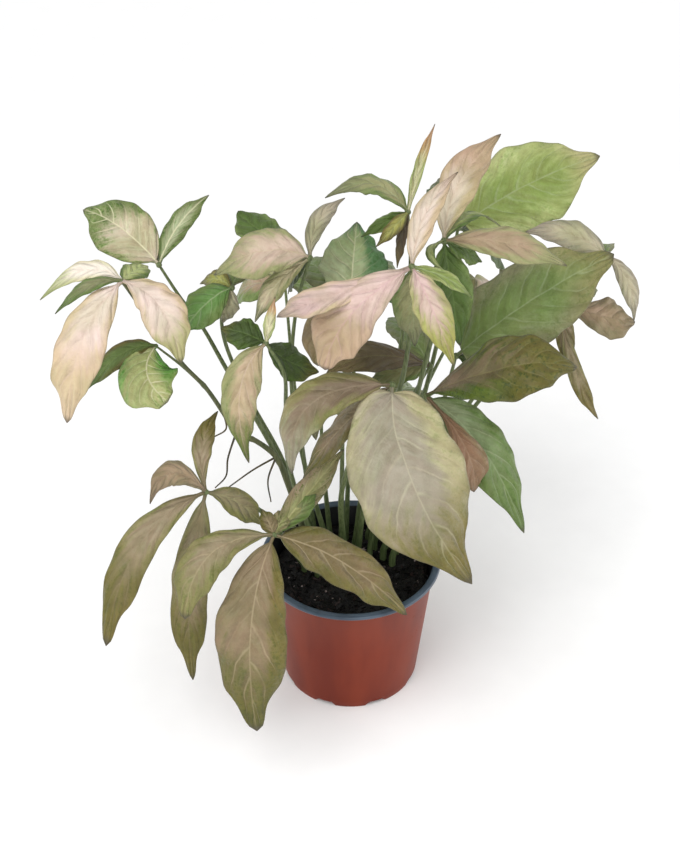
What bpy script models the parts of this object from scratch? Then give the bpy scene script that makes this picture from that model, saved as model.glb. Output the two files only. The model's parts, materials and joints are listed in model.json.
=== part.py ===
"""A pink syngonium in a nursery pot: pot, soil, a leafy climbing stem and leaves that rise from the soil.

Each compound leaf is a petiole that ends in a hub, and thin arched leaflets that spread from the hub.
Metres, +Z up. The origin is on the floor under the pot's axis, and the viewer stands on the -Y side.
"""

from math import cos, log, pi, radians, sin, tau
from typing import NamedTuple, Optional

import bmesh
import bpy
from mathutils import Matrix, Vector

# Driving dimensions
POT_DIAMETER = 0.120
POT_HEIGHT = 0.095
POT_FOOT_DIAMETER = 0.090
POT_WALL = 0.0014
RIM_FLANGE = 0.0052
SOIL_BELOW_RIM = 0.014
BLADE_THICKNESS = 0.0008
GAP = 0.0003

# The place the plant was seen from: a photograph of 680 by 850 pixels, taken from 1.5 m, looking down
PHOTO_CENTRE = (340, 425)
FOCAL_PIXELS = 2200
EYE = Vector((-0.007, -1.106, 1.054))
LOOK_DOWN = radians(37.5)
LIGHT = Vector((0.0, -0.5, 0.87)).normalized()

# Sizes that follow from the driving dimensions
RIM_RADIUS = POT_DIAMETER / 2
FOOT_RADIUS = POT_FOOT_DIAMETER / 2
SOIL_TOP = POT_HEIGHT - SOIL_BELOW_RIM
POT_FLOOR = 0.0042
STEM_DEPTH = 0.016


def seen(column, row, depth):
    """The point at y = depth that the photograph shows at this pixel."""
    ahead = Vector((0, cos(LOOK_DOWN), -sin(LOOK_DOWN)))
    up = Vector((0, sin(LOOK_DOWN), cos(LOOK_DOWN)))
    right = (column - PHOTO_CENTRE[0]) / FOCAL_PIXELS
    above = (PHOTO_CENTRE[1] - row) / FOCAL_PIXELS
    sight = ahead + up * above + Vector((right, 0, 0))
    return EYE + sight * ((depth - EYE.y) / sight.y)


class Leaflet(NamedTuple):
    """One blade. A place is (photograph column, photograph row, depth): see seen()."""

    tip: tuple
    width: float
    via: Optional[tuple] = None  # half-way along the midrib, where it curves sideways
    arch: float = 0.10  # how far the midrib rises over its chord, as a share of the chord
    roll: float = 0.0  # degrees about the midrib, from facing the light
    twist: float = 0.0  # degrees more at the tip than at the base
    belly: float = 0.45  # where along the blade it is widest
    full: float = 1.0  # below 1 the sides are fuller and the tip is blunter
    fold: float = 0.30  # how steeply the halves rise from the midrib
    dome: float = 0.36  # how much the edges fall again
    wave: float = 0.10  # height of the edge's waves, as a share of the half width
    lobes: float = 0.0  # how far the sides reach back past the base, as a share of the half width


class Leaf(NamedTuple):
    """A compound leaf. foot is where the petiole enters the soil, in metres, or None on the stem."""

    hub: tuple
    foot: Optional[tuple]
    route: tuple  # places along the petiole, from the soil up
    leaflets: tuple
    thickness: float = 0.0026  # of the petiole, below the hub


LEAVES = {
    "leaf_low_front": Leaf(
        hub=(274, 535, -0.070),
        foot=(-0.022, -0.004),
        route=((285, 515, -0.045),),
        leaflets=(
            Leaflet(
                tip=(257, 731, -0.125), width=0.044, via=(251, 628, -0.110),
                belly=0.56, full=0.72, wave=0.16,
            ),
            Leaflet(tip=(185, 619, -0.112), width=0.027, via=(210, 555, -0.092), belly=0.62, full=0.70),
            Leaflet(tip=(407, 615, -0.064), width=0.031, via=(345, 564, -0.060), belly=0.46, full=0.80),
            Leaflet(tip=(344, 449, -0.012), width=0.018, arch=0.04, belly=0.44, roll=15),
            Leaflet(tip=(262, 509, -0.056), width=0.011, arch=0.10, wave=0.2),
            Leaflet(tip=(290, 506, -0.050), width=0.011, arch=0.12, wave=0.3),
            Leaflet(tip=(316, 494, -0.046), width=0.013, via=(299, 511, -0.056), belly=0.5),
        ),
    ),
    "leaf_low_left": Leaf(
        hub=(206, 492, -0.060),
        foot=(-0.031, 0.001),
        route=((262, 512, -0.028), (232, 502, -0.045)),
        leaflets=(
            Leaflet(tip=(218, 411, -0.020), width=0.013, via=(202, 448, -0.042), belly=0.55),
            Leaflet(tip=(150, 504, -0.085), width=0.016, via=(172, 473, -0.070), roll=-20),
            Leaflet(tip=(106, 646, -0.112), width=0.024, via=(139, 546, -0.088), belly=0.60, full=0.70),
            Leaflet(
                tip=(193, 680, -0.090), width=0.024, via=(190, 588, -0.074),
                belly=0.50, full=0.85, wave=0.18,
            ),
            Leaflet(tip=(262, 525, -0.050), width=0.019, via=(238, 503, -0.050), belly=0.55),
        ),
    ),
    "leaf_front_big": Leaf(
        hub=(392, 385, -0.060),
        foot=(-0.004, 0.014),
        route=((342, 490, -0.010), (368, 420, -0.040)),
        leaflets=(
            Leaflet(
                tip=(472, 584, -0.112), width=0.070, via=(411, 480, -0.100),
                belly=0.44, fold=0.14, dome=0.24, lobes=0.16,
            ),
            Leaflet(tip=(292, 474, -0.085), width=0.027, via=(310, 405, -0.078), fold=0.2, full=0.9),
            Leaflet(tip=(303, 478, -0.050), width=0.022, via=(340, 430, -0.052), roll=20),
        ),
        thickness=0.003,
    ),
    "leaf_right_big": Leaf(
        hub=(426, 396, -0.024),
        foot=(0.022, 0.016),
        route=((400, 505, 0.006), (412, 445, -0.008)),
        leaflets=(
            Leaflet(tip=(577, 367, -0.046), width=0.044, via=(505, 367, -0.050), belly=0.54, full=0.95),
            Leaflet(tip=(524, 533, -0.055), width=0.034, via=(483, 450, -0.040), wave=0.18),
            Leaflet(tip=(474, 492, -0.050), width=0.022, via=(465, 447, -0.052), belly=0.70),
        ),
        thickness=0.003,
    ),
    "leaf_right_upper": Leaf(
        hub=(456, 356, 0.002),
        foot=(0.028, 0.009),
        route=((424, 470, 0.008), (444, 400, 0.004)),
        leaflets=(
            Leaflet(
                tip=(614, 254, 0.018), width=0.057, via=(529, 302, 0.003), full=0.78,
                belly=0.46, fold=0.18, dome=0.24, lobes=0.1,
            ),
            Leaflet(tip=(510, 378, 0.004), width=0.017, arch=0.12),
        ),
        thickness=0.003,
    ),
    "leaf_crown_front": Leaf(
        hub=(412, 267, -0.050),
        foot=(0.005, 0.016),
        route=((366, 500, 0.002), (402, 380, -0.018), (411, 310, -0.030)),
        leaflets=(
            Leaflet(tip=(458, 172, -0.004), width=0.016, via=(426, 213, -0.028), roll=-15),
            Leaflet(tip=(277, 317, -0.098), width=0.018, via=(333, 295, -0.062), belly=0.60),
            Leaflet(tip=(325, 370, -0.080), width=0.034, via=(350, 316, -0.068), belly=0.58, full=0.66),
            Leaflet(tip=(318, 366, -0.052), width=0.026, via=(332, 318, -0.050), belly=0.62, full=0.7),
            Leaflet(tip=(454, 366, -0.092), width=0.021, arch=0.10, belly=0.45),
            Leaflet(tip=(415, 346, -0.030), width=0.024, arch=-0.04, belly=0.5),
            Leaflet(tip=(472, 298, -0.046), width=0.009, via=(446, 278, -0.049), wave=0.2),
        ),
        thickness=0.003,
    ),
    "leaf_crown_right": Leaf(
        hub=(444, 241, -0.010),
        foot=(0.016, 0.024),
        route=((392, 488, 0.017), (426, 360, -0.008), (446, 280, -0.006)),
        leaflets=(
            Leaflet(tip=(501, 134, 0.045), width=0.023, via=(459, 183, 0.018), belly=0.5, roll=10),
            Leaflet(tip=(567, 266, -0.020), width=0.021, via=(505, 243, -0.018), belly=0.5),
            Leaflet(tip=(460, 346, -0.016), width=0.026, via=(452, 290, -0.014), belly=0.5),
            Leaflet(tip=(482, 262, 0.004), width=0.016, arch=0.05, belly=0.5),
            Leaflet(tip=(505, 231, 0.030), width=0.014, via=(472, 214, 0.018), roll=-35),
            Leaflet(tip=(447, 273, -0.036), width=0.0055, via=(430, 253, -0.030)),
        ),
        thickness=0.003,
    ),
    "leaf_top_green": Leaf(
        hub=(458, 228, 0.062),
        foot=(0.024, 0.026),
        route=((410, 450, 0.026), (440, 330, 0.040)),
        leaflets=(
            Leaflet(
                tip=(600, 156, 0.092), width=0.059, via=(527, 185, 0.084), full=0.95,
                belly=0.43, fold=0.16, dome=0.24, lobes=0.1,
            ),
            Leaflet(tip=(500, 282, 0.120), width=0.026, arch=0.10),
            Leaflet(tip=(440, 178, 0.130), width=0.028, arch=0.10),
        ),
        thickness=0.003,
    ),
    "leaf_far_right": Leaf(
        hub=(607, 256, 0.036),
        foot=(0.031, 0.019),
        route=((450, 440, 0.018), (540, 330, 0.026)),
        leaflets=(
            Leaflet(tip=(524, 233, 0.040), width=0.020, via=(568, 234, 0.044), belly=0.40),
            Leaflet(tip=(634, 321, 0.020), width=0.012, via=(628, 282, 0.028), belly=0.5),
            Leaflet(tip=(588, 268, 0.105), width=0.020, arch=0.12),
        ),
    ),
    "leaf_right_behind": Leaf(
        hub=(560, 305, 0.050),
        foot=(0.032, 0.027),
        route=((452, 430, 0.038), (515, 345, 0.048)),
        leaflets=(
            Leaflet(tip=(635, 322, 0.050), width=0.027, via=(603, 316, 0.044), belly=0.6),
            Leaflet(tip=(569, 367, 0.034), width=0.013, arch=0.08),
            Leaflet(tip=(598, 419, 0.022), width=0.011, via=(574, 368, 0.026), belly=0.6),
            Leaflet(tip=(585, 290, 0.120), width=0.026, arch=0.12),
        ),
    ),
    "leaf_top_young": Leaf(
        hub=(408, 212, 0.030),
        foot=(0.013, 0.016),
        route=((382, 470, 0.010), (400, 350, 0.014), (410, 270, 0.024)),
        leaflets=(
            Leaflet(tip=(325, 198, 0.045), width=0.018, via=(372, 184, 0.050), roll=20),
            Leaflet(tip=(435, 124, 0.045), width=0.0065, via=(420, 166, 0.040), fold=1.1, belly=0.45),
            Leaflet(tip=(361, 237, 0.012), width=0.010, arch=0.05),
            Leaflet(tip=(376, 247, -0.004), width=0.009, arch=0.03, roll=-20),
            Leaflet(tip=(397, 268, 0.014), width=0.009, arch=0.04, roll=40),
        ),
    ),
    "leaf_crown_left": Leaf(
        hub=(310, 258, -0.010),
        foot=(-0.013, 0.012),
        route=((306, 470, 0.004), (293, 400, 0.000), (292, 350, -0.004), (298, 300, -0.006)),
        leaflets=(
            Leaflet(tip=(214, 275, 0.002), width=0.033, via=(263, 251, -0.008), belly=0.48),
            Leaflet(tip=(238, 211, 0.052), width=0.024, via=(262, 232, 0.030), belly=0.55),
            Leaflet(tip=(345, 198, 0.038), width=0.012, via=(318, 222, 0.020), belly=0.5),
            Leaflet(tip=(255, 322, -0.012), width=0.014, via=(275, 286, -0.012), belly=0.5),
            Leaflet(tip=(288, 294, 0.016), width=0.014, arch=0.05),
        ),
    ),
    "leaf_middle_back": Leaf(
        hub=(350, 300, 0.004),
        foot=(-0.006, 0.026),
        route=((342, 470, 0.010), (344, 380, 0.006)),
        leaflets=(
            Leaflet(tip=(357, 222, 0.058), width=0.041, arch=0.10, belly=0.36),
            Leaflet(tip=(392, 262, 0.070), width=0.024, arch=0.12),
            Leaflet(tip=(300, 262, 0.070), width=0.024, arch=0.12),
        ),
    ),
    "leaf_left_middle": Leaf(
        hub=(232, 288, 0.004),
        foot=(-0.028, 0.021),
        route=((286, 468, 0.010), (250, 400, 0.012), (226, 345, 0.008), (222, 310, 0.006)),
        leaflets=(
            Leaflet(tip=(200, 284, 0.026), width=0.012, via=(216, 279, 0.014), roll=-25),
            Leaflet(tip=(180, 336, -0.010), width=0.024, via=(206, 304, -0.004), belly=0.5),
            Leaflet(tip=(223, 323, 0.000), width=0.015, arch=0.10),
            Leaflet(tip=(248, 262, 0.060), width=0.020, arch=0.12),
        ),
    ),
    "leaf_upper_left": Leaf(
        hub=(159, 265, 0.022),
        foot=(-0.020, 0.019),
        route=((278, 458, 0.002), (227, 370, 0.002), (203, 328, 0.012), (180, 297, 0.018)),
        leaflets=(
            Leaflet(
                tip=(83, 210, 0.052), width=0.038, via=(120, 227, 0.040), belly=0.46,
                full=0.92, fold=0.2, wave=0.03,
            ),
            Leaflet(tip=(209, 195, 0.060), width=0.015, via=(178, 226, 0.042), belly=0.5),
            Leaflet(tip=(136, 262, 0.100), width=0.022, arch=0.12),
        ),
    ),
    "leaf_middle_left": Leaf(
        hub=(266, 343, -0.030),
        foot=(-0.020, 0.005),
        route=((290, 470, -0.014), (286, 410, -0.028), (284, 374, -0.038)),
        leaflets=(
            Leaflet(tip=(249, 463, -0.052), width=0.023, via=(240, 392, -0.048), belly=0.45),
            Leaflet(tip=(221, 328, -0.018), width=0.020, arch=0.10, belly=0.5),
            Leaflet(tip=(319, 372, -0.020), width=0.023, via=(290, 362, -0.022), belly=0.5),
            Leaflet(tip=(275, 297, -0.030), width=0.007, arch=0.03),
        ),
    ),
    "leaf_middle_right": Leaf(
        hub=(430, 366, 0.008),
        foot=(0.003, 0.025),
        route=((366, 480, 0.021), (404, 410, 0.019)),
        leaflets=(
            Leaflet(tip=(367, 384, 0.000), width=0.019, via=(398, 372, 0.003), belly=0.5),
            Leaflet(tip=(326, 374, -0.014), width=0.020, via=(374, 356, -0.006), belly=0.5),
            Leaflet(tip=(388, 318, 0.085), width=0.022, arch=0.12),
        ),
    ),
    "leaf_back_left": Leaf(
        hub=(285, 285, 0.110),
        foot=(-0.024, 0.031),
        route=((296, 400, 0.060),),
        leaflets=(
            Leaflet(tip=(236, 300, 0.150), width=0.030, arch=0.14),
            Leaflet(tip=(282, 262, 0.190), width=0.036, arch=0.14),
            Leaflet(tip=(318, 302, 0.148), width=0.026, arch=0.14),
        ),
    ),
    "leaf_back_middle": Leaf(
        hub=(360, 290, 0.118),
        foot=(-0.003, 0.036),
        route=((352, 400, 0.064),),
        leaflets=(
            Leaflet(tip=(338, 325, 0.160), width=0.028, arch=0.14),
            Leaflet(tip=(372, 290, 0.205), width=0.038, arch=0.14),
            Leaflet(tip=(415, 306, 0.165), width=0.028, arch=0.14),
        ),
    ),
    "leaf_back_right": Leaf(
        hub=(472, 300, 0.110),
        foot=(0.012, 0.034),
        route=((420, 400, 0.062),),
        leaflets=(
            Leaflet(tip=(440, 292, 0.170), width=0.028, arch=0.14),
            Leaflet(tip=(500, 316, 0.190), width=0.036, arch=0.14),
            Leaflet(tip=(540, 330, 0.140), width=0.030, arch=0.14),
        ),
    ),
    "leaf_back_low": Leaf(
        hub=(400, 392, 0.100),
        foot=(0.021, 0.035),
        route=((390, 450, 0.060),),
        leaflets=(
            Leaflet(tip=(372, 440, 0.130), width=0.028, arch=0.14),
            Leaflet(tip=(408, 430, 0.170), width=0.034, arch=0.14),
            Leaflet(tip=(446, 450, 0.130), width=0.026, arch=0.14),
        ),
    ),
    "leaf_back_low_left": Leaf(
        hub=(322, 402, 0.092),
        foot=(-0.014, 0.034),
        route=((322, 450, 0.056),),
        leaflets=(
            Leaflet(tip=(298, 442, 0.112), width=0.024, arch=0.14),
            Leaflet(tip=(316, 440, 0.160), width=0.032, arch=0.14),
            Leaflet(tip=(350, 444, 0.140), width=0.024, arch=0.14),
        ),
    ),
}

# The climbing stem on the left carries two leaves and four aerial roots
STEM_FOOT = (-0.027, 0.011)
STEM_ROUTE = (
    (300, 520, 0.000),
    (287, 482, -0.004),
    (276, 457, -0.008),
    (256, 441, -0.010),
    (236, 433, -0.012),
    (224, 414, -0.012),
    (206, 388, -0.012),
    (181, 362, -0.014),
    (150, 320, -0.016),
)
STEM_THICKNESS = 0.0042
STEM_LEAVES = (
    Leaf(
        hub=(122, 281, -0.016),
        foot=None,
        route=(),
        leaflets=(
            Leaflet(tip=(40, 300, -0.010), width=0.013, via=(84, 270, -0.010), belly=0.45),
            Leaflet(tip=(55, 314, -0.018), width=0.009, via=(88, 286, -0.020), belly=0.5),
            Leaflet(tip=(67, 423, -0.050), width=0.031, via=(82, 341, -0.040), belly=0.54, full=0.8),
            Leaflet(tip=(181, 363, -0.046), width=0.027, via=(160, 307, -0.034), belly=0.56, full=0.85),
            Leaflet(tip=(148, 266, 0.014), width=0.016, arch=0.08),
        ),
        thickness=0.0021,
    ),
    Leaf(
        hub=(156, 346, 0.004),
        foot=None,
        route=((206, 388, -0.012), (182, 366, -0.004)),
        leaflets=(
            Leaflet(tip=(81, 395, -0.004), width=0.015, via=(120, 355, 0.000), belly=0.5),
            Leaflet(
                tip=(168, 402, -0.024), width=0.038, via=(147, 374, -0.012), belly=0.62,
                full=0.5, wave=0.04,
            ),
        ),
        thickness=0.0020,
    ),
)
AERIAL_ROOTS = (
    ((224, 414, -0.012), (226, 429, -0.016), (214, 437, -0.020)),
    ((236, 433, -0.012), (228, 458, -0.020), (226, 476, -0.024), (215, 488, -0.028)),
    ((276, 457, -0.008), (253, 470, -0.016), (229, 487, -0.022)),
    ((276, 457, -0.008), (268, 480, -0.012), (271, 502, -0.018)),
)
ROOT_THICKNESS = 0.0014

# A petiole's thickness at the soil and at the hub, as shares of the leaf's own thickness
PETIOLE_FOOT = 1.4
PETIOLE_TOP = 0.68


def finished(obj, colour, roughness, sharp=50):
    """Gives a sub-part its own material, and smooth shading up to the sharp angle in degrees."""
    own = bpy.data.materials.new(obj.name)
    own.use_nodes = True
    shader = own.node_tree.nodes["Principled BSDF"]
    shader.inputs["Base Color"].default_value = (*colour, 1.0)
    shader.inputs["Roughness"].default_value = roughness
    shader.inputs["Metallic"].default_value = 0.0
    obj.data.materials.clear()
    obj.data.materials.append(own)
    obj.data.shade_smooth()
    obj.data.set_sharp_from_angle(angle=radians(sharp))
    return obj


def new_object(name, bm, collection=None):
    """An object of this bmesh, in the given collection or in the scene's."""
    mesh = bpy.data.meshes.new(name)
    bm.to_mesh(mesh)
    bm.free()
    made = bpy.data.objects.new(name, mesh)
    (collection or bpy.context.scene.collection).objects.link(made)
    return made


def applied(obj):
    """Bakes the object's modifiers into its mesh."""
    graph = bpy.context.evaluated_depsgraph_get()
    mesh = bpy.data.meshes.new_from_object(obj.evaluated_get(graph))
    obj.modifiers.clear()
    obj.data = mesh
    return obj


def helpers(name):
    """A collection for cutters or for shapes that a union joins."""
    made = bpy.data.collections.new(name)
    bpy.context.scene.collection.children.link(made)
    return made


def boolean(obj, collection, operation, solver="EXACT"):
    """Joins a collection to an object, or cuts it from the object, and removes the collection."""
    modifier = obj.modifiers.new(operation.title(), "BOOLEAN")
    modifier.operation = operation
    modifier.solver = solver
    modifier.operand_type = "COLLECTION"
    modifier.collection = collection
    applied(obj)
    for other in list(collection.objects):
        bpy.data.objects.remove(other)
    bpy.data.collections.remove(collection)
    return obj


def smooth_line(points, steps):
    """Points read from one smooth curve (Catmull-Rom) through the given points, steps to a span."""
    ends = [points[0] * 2 - points[1], *points, points[-1] * 2 - points[-2]]
    line = [points[0]]
    for a, b, c, d in zip(ends, ends[1:], ends[2:], ends[3:]):
        for step in range(1, steps + 1):
            t = step / steps
            slope = (c - a) * t
            bend = (a * 2 - b * 5 + c * 4 - d) * t**2
            turn = (b * 3 - a - c * 3 + d) * t**3
            line.append((b * 2 + slope + bend + turn) / 2)
    return line


def tube(line, radii, sides):
    """A closed round rod along the line, its cross-sections turned as little as possible."""
    bm = bmesh.new()
    along = (line[1] - line[0]).normalized()
    across = along.orthogonal().normalized()
    rings = []
    for index, centre in enumerate(line):
        before, after = line[max(index - 1, 0)], line[min(index + 1, len(line) - 1)]
        turned = (after - before).normalized()
        across = (along.rotation_difference(turned) @ across).normalized()
        along = turned
        up = along.cross(across)
        ring = []
        for side in range(sides):
            angle = tau * side / sides
            offset = across * cos(angle) + up * sin(angle)
            ring.append(bm.verts.new(centre + offset * radii[index]))
        rings.append(ring)
    for low, high in zip(rings, rings[1:]):
        for side in range(sides):
            other = (side + 1) % sides
            bm.faces.new((low[side], low[other], high[other], high[side]))
    bm.faces.new(reversed(rings[0]))
    bm.faces.new(rings[-1])
    return bm


def outline(leaflet, t):
    """Half the blade's width at t, from 0 at the base to 1 at the tip."""
    stalk, share_of_stalk = 0.0011, 0.05
    if t <= share_of_stalk:
        return stalk
    u = (t - share_of_stalk) / (1 - share_of_stalk)
    bulge = sin(pi * min(u ** (log(0.5) / log(leaflet.belly)), 1.0))
    power = leaflet.full * (0.72 if u < leaflet.belly else 0.86)
    return max(leaflet.width / 2 * max(bulge, 0.0) ** power, stalk * (1 - u) + 0.0003)


def blade_centre(leaflet, base, tip):
    """The midrib's control point and the direction that the middle of the blade faces."""
    chord = tip - base
    along = chord.normalized()
    facing = (LIGHT - along * LIGHT.dot(along)).normalized()
    facing = Matrix.Rotation(radians(leaflet.roll), 3, along) @ facing
    if leaflet.via:
        control = seen(*leaflet.via) * 2 - (base + tip) / 2
    else:
        control = base + chord * 0.45 + facing * (leaflet.arch * 2 * chord.length)
    return control, facing


def blade_point(leaflet, base, t, s):
    """(place, upward direction) on the blade, t along the midrib and s from -1 to 1 across it."""
    tip = seen(*leaflet.tip)
    control, facing = blade_centre(leaflet, base, tip)
    centre = base * (1 - t) ** 2 + control * (2 * t * (1 - t)) + tip * t * t
    along = ((control - base) * (1 - t) + (tip - control) * t).normalized()
    up = (facing - along * facing.dot(along)).normalized()
    up = Matrix.Rotation(radians(leaflet.twist) * (t - 0.5), 3, along) @ up
    side = along.cross(up)
    half = outline(leaflet, t)
    phase = leaflet.tip[0] * 0.37 + leaflet.tip[1] * 0.11 + (1.9 if s > 0 else 0.0)
    waves = 2.2 * tau * t + phase
    rise = leaflet.fold * abs(s) - leaflet.dome * s * s + leaflet.wave * s * s * sin(waves)
    back = leaflet.lobes * min(leaflet.width, half * 5) * s * s * (1 - t) ** 3
    return centre + side * (half * s) + up * (half * rise) - along * back, up


def blade(leaflet, base):
    """A thin closed blade, its two faces split into triangles alike."""
    stations = (0, 0.1, 0.27, 0.45, 0.63, 0.82, 1) if leaflet.width > 0.016 else (0, 0.15, 0.4, 0.7, 1)
    across = (-1, -0.5, 0, 0.5, 1) if leaflet.width > 0.029 else (-1, 0, 1)
    bm = bmesh.new()
    faces = []
    for lift in (0.5, -0.5):
        grid = []
        for t in stations:
            thick = BLADE_THICKNESS * (2.2 if t == 0 else 1.0)
            row = []
            for s in across:
                place, up = blade_point(leaflet, base, t, s)
                row.append(bm.verts.new(place + up * (thick * lift)))
            grid.append(row)
        faces.append(grid)
    top, bottom = faces
    last, edge = len(stations) - 1, len(across) - 1
    for i in range(last):
        for j in range(edge):
            for grid, turned in ((top, False), (bottom, True)):
                a, b, c, d = grid[i][j], grid[i][j + 1], grid[i + 1][j + 1], grid[i + 1][j]
                split = ((a, b, c), (a, c, d)) if j < edge / 2 else ((a, b, d), (b, c, d))
                for corners in split:
                    bm.faces.new(reversed(corners) if turned else corners)
    rim = [(0, j) for j in range(edge)] + [(i, edge) for i in range(last)]
    rim += [(last, j) for j in range(edge, 0, -1)] + [(i, 0) for i in range(last, 0, -1)]
    for here, there in zip(rim, rim[1:] + rim[:1]):
        a, b = top[here[0]][here[1]], top[there[0]][there[1]]
        c, d = bottom[there[0]][there[1]], bottom[here[0]][here[1]]
        bm.faces.new((b, a, d, c))
    bmesh.ops.recalc_face_normals(bm, faces=bm.faces)
    return bm


def add_leaflets(leaf, collection):
    """The hub's knuckle and its leaflets, as closed shapes in the collection."""
    hub = seen(*leaf.hub)
    knuckle = bmesh.new()
    bmesh.ops.create_icosphere(knuckle, subdivisions=1, radius=leaf.thickness * 0.66)
    bmesh.ops.translate(knuckle, verts=knuckle.verts, vec=hub)
    new_object("knuckle", knuckle, collection)
    for leaflet in leaf.leaflets:
        new_object("leaflet", blade(leaflet, hub), collection)


def stem_line(foot, places):
    """From the bottom of its hole, straight up out of the soil, and on through the places."""
    bottom = Vector((*foot, SOIL_TOP - STEM_DEPTH))
    out = Vector((*foot, SOIL_TOP + 0.006))
    return [bottom, *smooth_line([out, *(seen(*place) for place in places)], 3)]


def taper(count, thick, thin):
    """Radii that fall evenly from one thickness to another."""
    return [(thick + (thin - thick) * i / (count - 1)) / 2 for i in range(count)]


def frond(name, leaf, colour):
    """One leaf with its petiole, as one solid."""
    line = stem_line(leaf.foot, (*leaf.route, leaf.hub))
    radii = taper(len(line), leaf.thickness * PETIOLE_FOOT, leaf.thickness * PETIOLE_TOP)
    made = new_object(name, tube(line, radii, 5))
    pieces = helpers(name + "_pieces")
    add_leaflets(leaf, pieces)
    boolean(made, pieces, "UNION")
    return finished(made, colour, 0.5)


def climbing_stem(name, colour):
    """The leafy stem on the left, with its two leaves and its aerial roots, as one solid."""
    upper, lower = STEM_LEAVES
    line = stem_line(STEM_FOOT, (*STEM_ROUTE, upper.hub))
    made = new_object(name, tube(line, taper(len(line), STEM_THICKNESS, upper.thickness), 6))
    pieces = helpers(name + "_pieces")
    branch = smooth_line([seen(*place) for place in (*lower.route, lower.hub)], 3)
    radii = taper(len(branch), lower.thickness, lower.thickness * PETIOLE_TOP)
    new_object("branch", tube(branch, radii, 5), pieces)
    for places in AERIAL_ROOTS:
        root = smooth_line([seen(*place) for place in places], 2)
        radii = taper(len(root), ROOT_THICKNESS, ROOT_THICKNESS * 0.6)
        new_object("root", tube(root, radii, 4), pieces)
    for leaf in STEM_LEAVES:
        add_leaflets(leaf, pieces)
    boolean(made, pieces, "UNION", "MANIFOLD")
    return finished(made, colour, 0.5)


def turned(profile, sides):
    """A closed solid turned about Z from (radius, height) points that start and end on the axis.

    A height may be a function of the radius and the angle.
    """
    bm = bmesh.new()
    rings = []
    for radius, height in profile:
        if radius == 0:
            rings.append([bm.verts.new((0, 0, height))] * sides)
            continue
        ring = []
        for side in range(sides):
            angle = tau * side / sides
            z = height(radius, angle) if callable(height) else height
            ring.append(bm.verts.new((radius * cos(angle), radius * sin(angle), z)))
        rings.append(ring)
    for here, there in zip(rings, rings[1:]):
        for side in range(sides):
            other = (side + 1) % sides
            corners = []
            for vert in (here[side], here[other], there[other], there[side]):
                if vert not in corners:
                    corners.append(vert)
            bm.faces.new(corners)
    bmesh.ops.recalc_face_normals(bm, faces=bm.faces)
    return bm


def wall_radius(height):
    """The pot wall's outer radius at a height: a straight taper up to the rim's flange."""
    top = RIM_RADIUS - RIM_FLANGE + POT_WALL
    return FOOT_RADIUS + (top - FOOT_RADIUS) * height / POT_HEIGHT


def pot():
    """The thin moulded pot: a rolled flange, a tapered wall, and a raised floor.

    It stands on a notched skirt and on a flat pad in the middle of the floor.
    """
    flange_height, skirt, floor, pad_radius = 0.0030, 0.0026, 0.0016, 0.014
    under = POT_HEIGHT - flange_height
    inside_floor = wall_radius(POT_FLOOR) - POT_WALL
    profile = (
        (0, 0),
        (pad_radius, 0),
        (pad_radius + 0.0015, POT_FLOOR - floor),
        (FOOT_RADIUS - skirt, POT_FLOOR - floor),
        (FOOT_RADIUS - skirt, 0),
        (FOOT_RADIUS, 0),
        (wall_radius(0.004), 0.004),
        (wall_radius(under), under),
        (RIM_RADIUS - 0.0006, under),
        (RIM_RADIUS, under + 0.0008),
        (RIM_RADIUS - 0.0002, POT_HEIGHT - 0.0010),
        (RIM_RADIUS - 0.0014, POT_HEIGHT),
        (RIM_RADIUS - RIM_FLANGE + 0.0010, POT_HEIGHT - 0.0002),
        (RIM_RADIUS - RIM_FLANGE, POT_HEIGHT - 0.0012),
        (inside_floor, POT_FLOOR),
        (0, POT_FLOOR),
    )
    made = new_object("pot", turned(profile, 36))
    cutters = helpers("drain_cutters")
    notches, width, tall = 8, 0.013, 0.0050
    for index in range(notches):
        turn = Matrix.Rotation(tau * (index + 0.5) / notches, 4, "Z")
        place = Matrix.Translation((FOOT_RADIUS - 0.001, 0, 0))
        size = Matrix.Diagonal((0.012, width, tall, 1))
        cutter = bmesh.new()
        bmesh.ops.create_cube(cutter, size=1, matrix=turn @ place @ size)
        new_object("drain_cutter", cutter, cutters)
    boolean(made, cutters, "DIFFERENCE")
    return finished(made, (0.55, 0.16, 0.08), 0.55, sharp=30)


def soil_height(radius, angle):
    """A lumpy surface, a little lower at the wall."""
    lumps = 0.0012 * sin(3 * angle + 140 * radius) + 0.0009 * sin(7 * angle - 230 * radius)
    return SOIL_TOP - 0.0015 * (radius / RIM_RADIUS) ** 2 + lumps


def soil(feet):
    """Fills the pot, with a plain hole for each petiole and stem that stands in it."""
    clear = POT_WALL + GAP
    low = POT_FLOOR + GAP
    edge = SOIL_TOP - 0.003
    profile = (
        (0, low),
        (wall_radius(low) - clear, low),
        (wall_radius(edge) - clear, edge),
        (0.044, soil_height),
        (0.031, soil_height),
        (0.016, soil_height),
        (0, SOIL_TOP),
    )
    made = new_object("soil", turned(profile, 32))
    cutters = helpers("stem_holes")
    bottom, top, sides = SOIL_TOP - STEM_DEPTH - GAP, SOIL_TOP + 0.012, 8
    for (x, y), radius in feet:
        hole = bmesh.new()
        corner = (radius + GAP) / cos(pi / sides)
        bmesh.ops.create_cone(
            hole,
            cap_ends=True,
            segments=sides,
            radius1=corner,
            radius2=corner,
            depth=top - bottom,
            matrix=Matrix.Translation((x, y, (top + bottom) / 2)),
        )
        new_object("stem_hole", hole, cutters)
    boolean(made, cutters, "DIFFERENCE")
    return finished(made, (0.02, 0.014, 0.011), 0.95)


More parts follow.
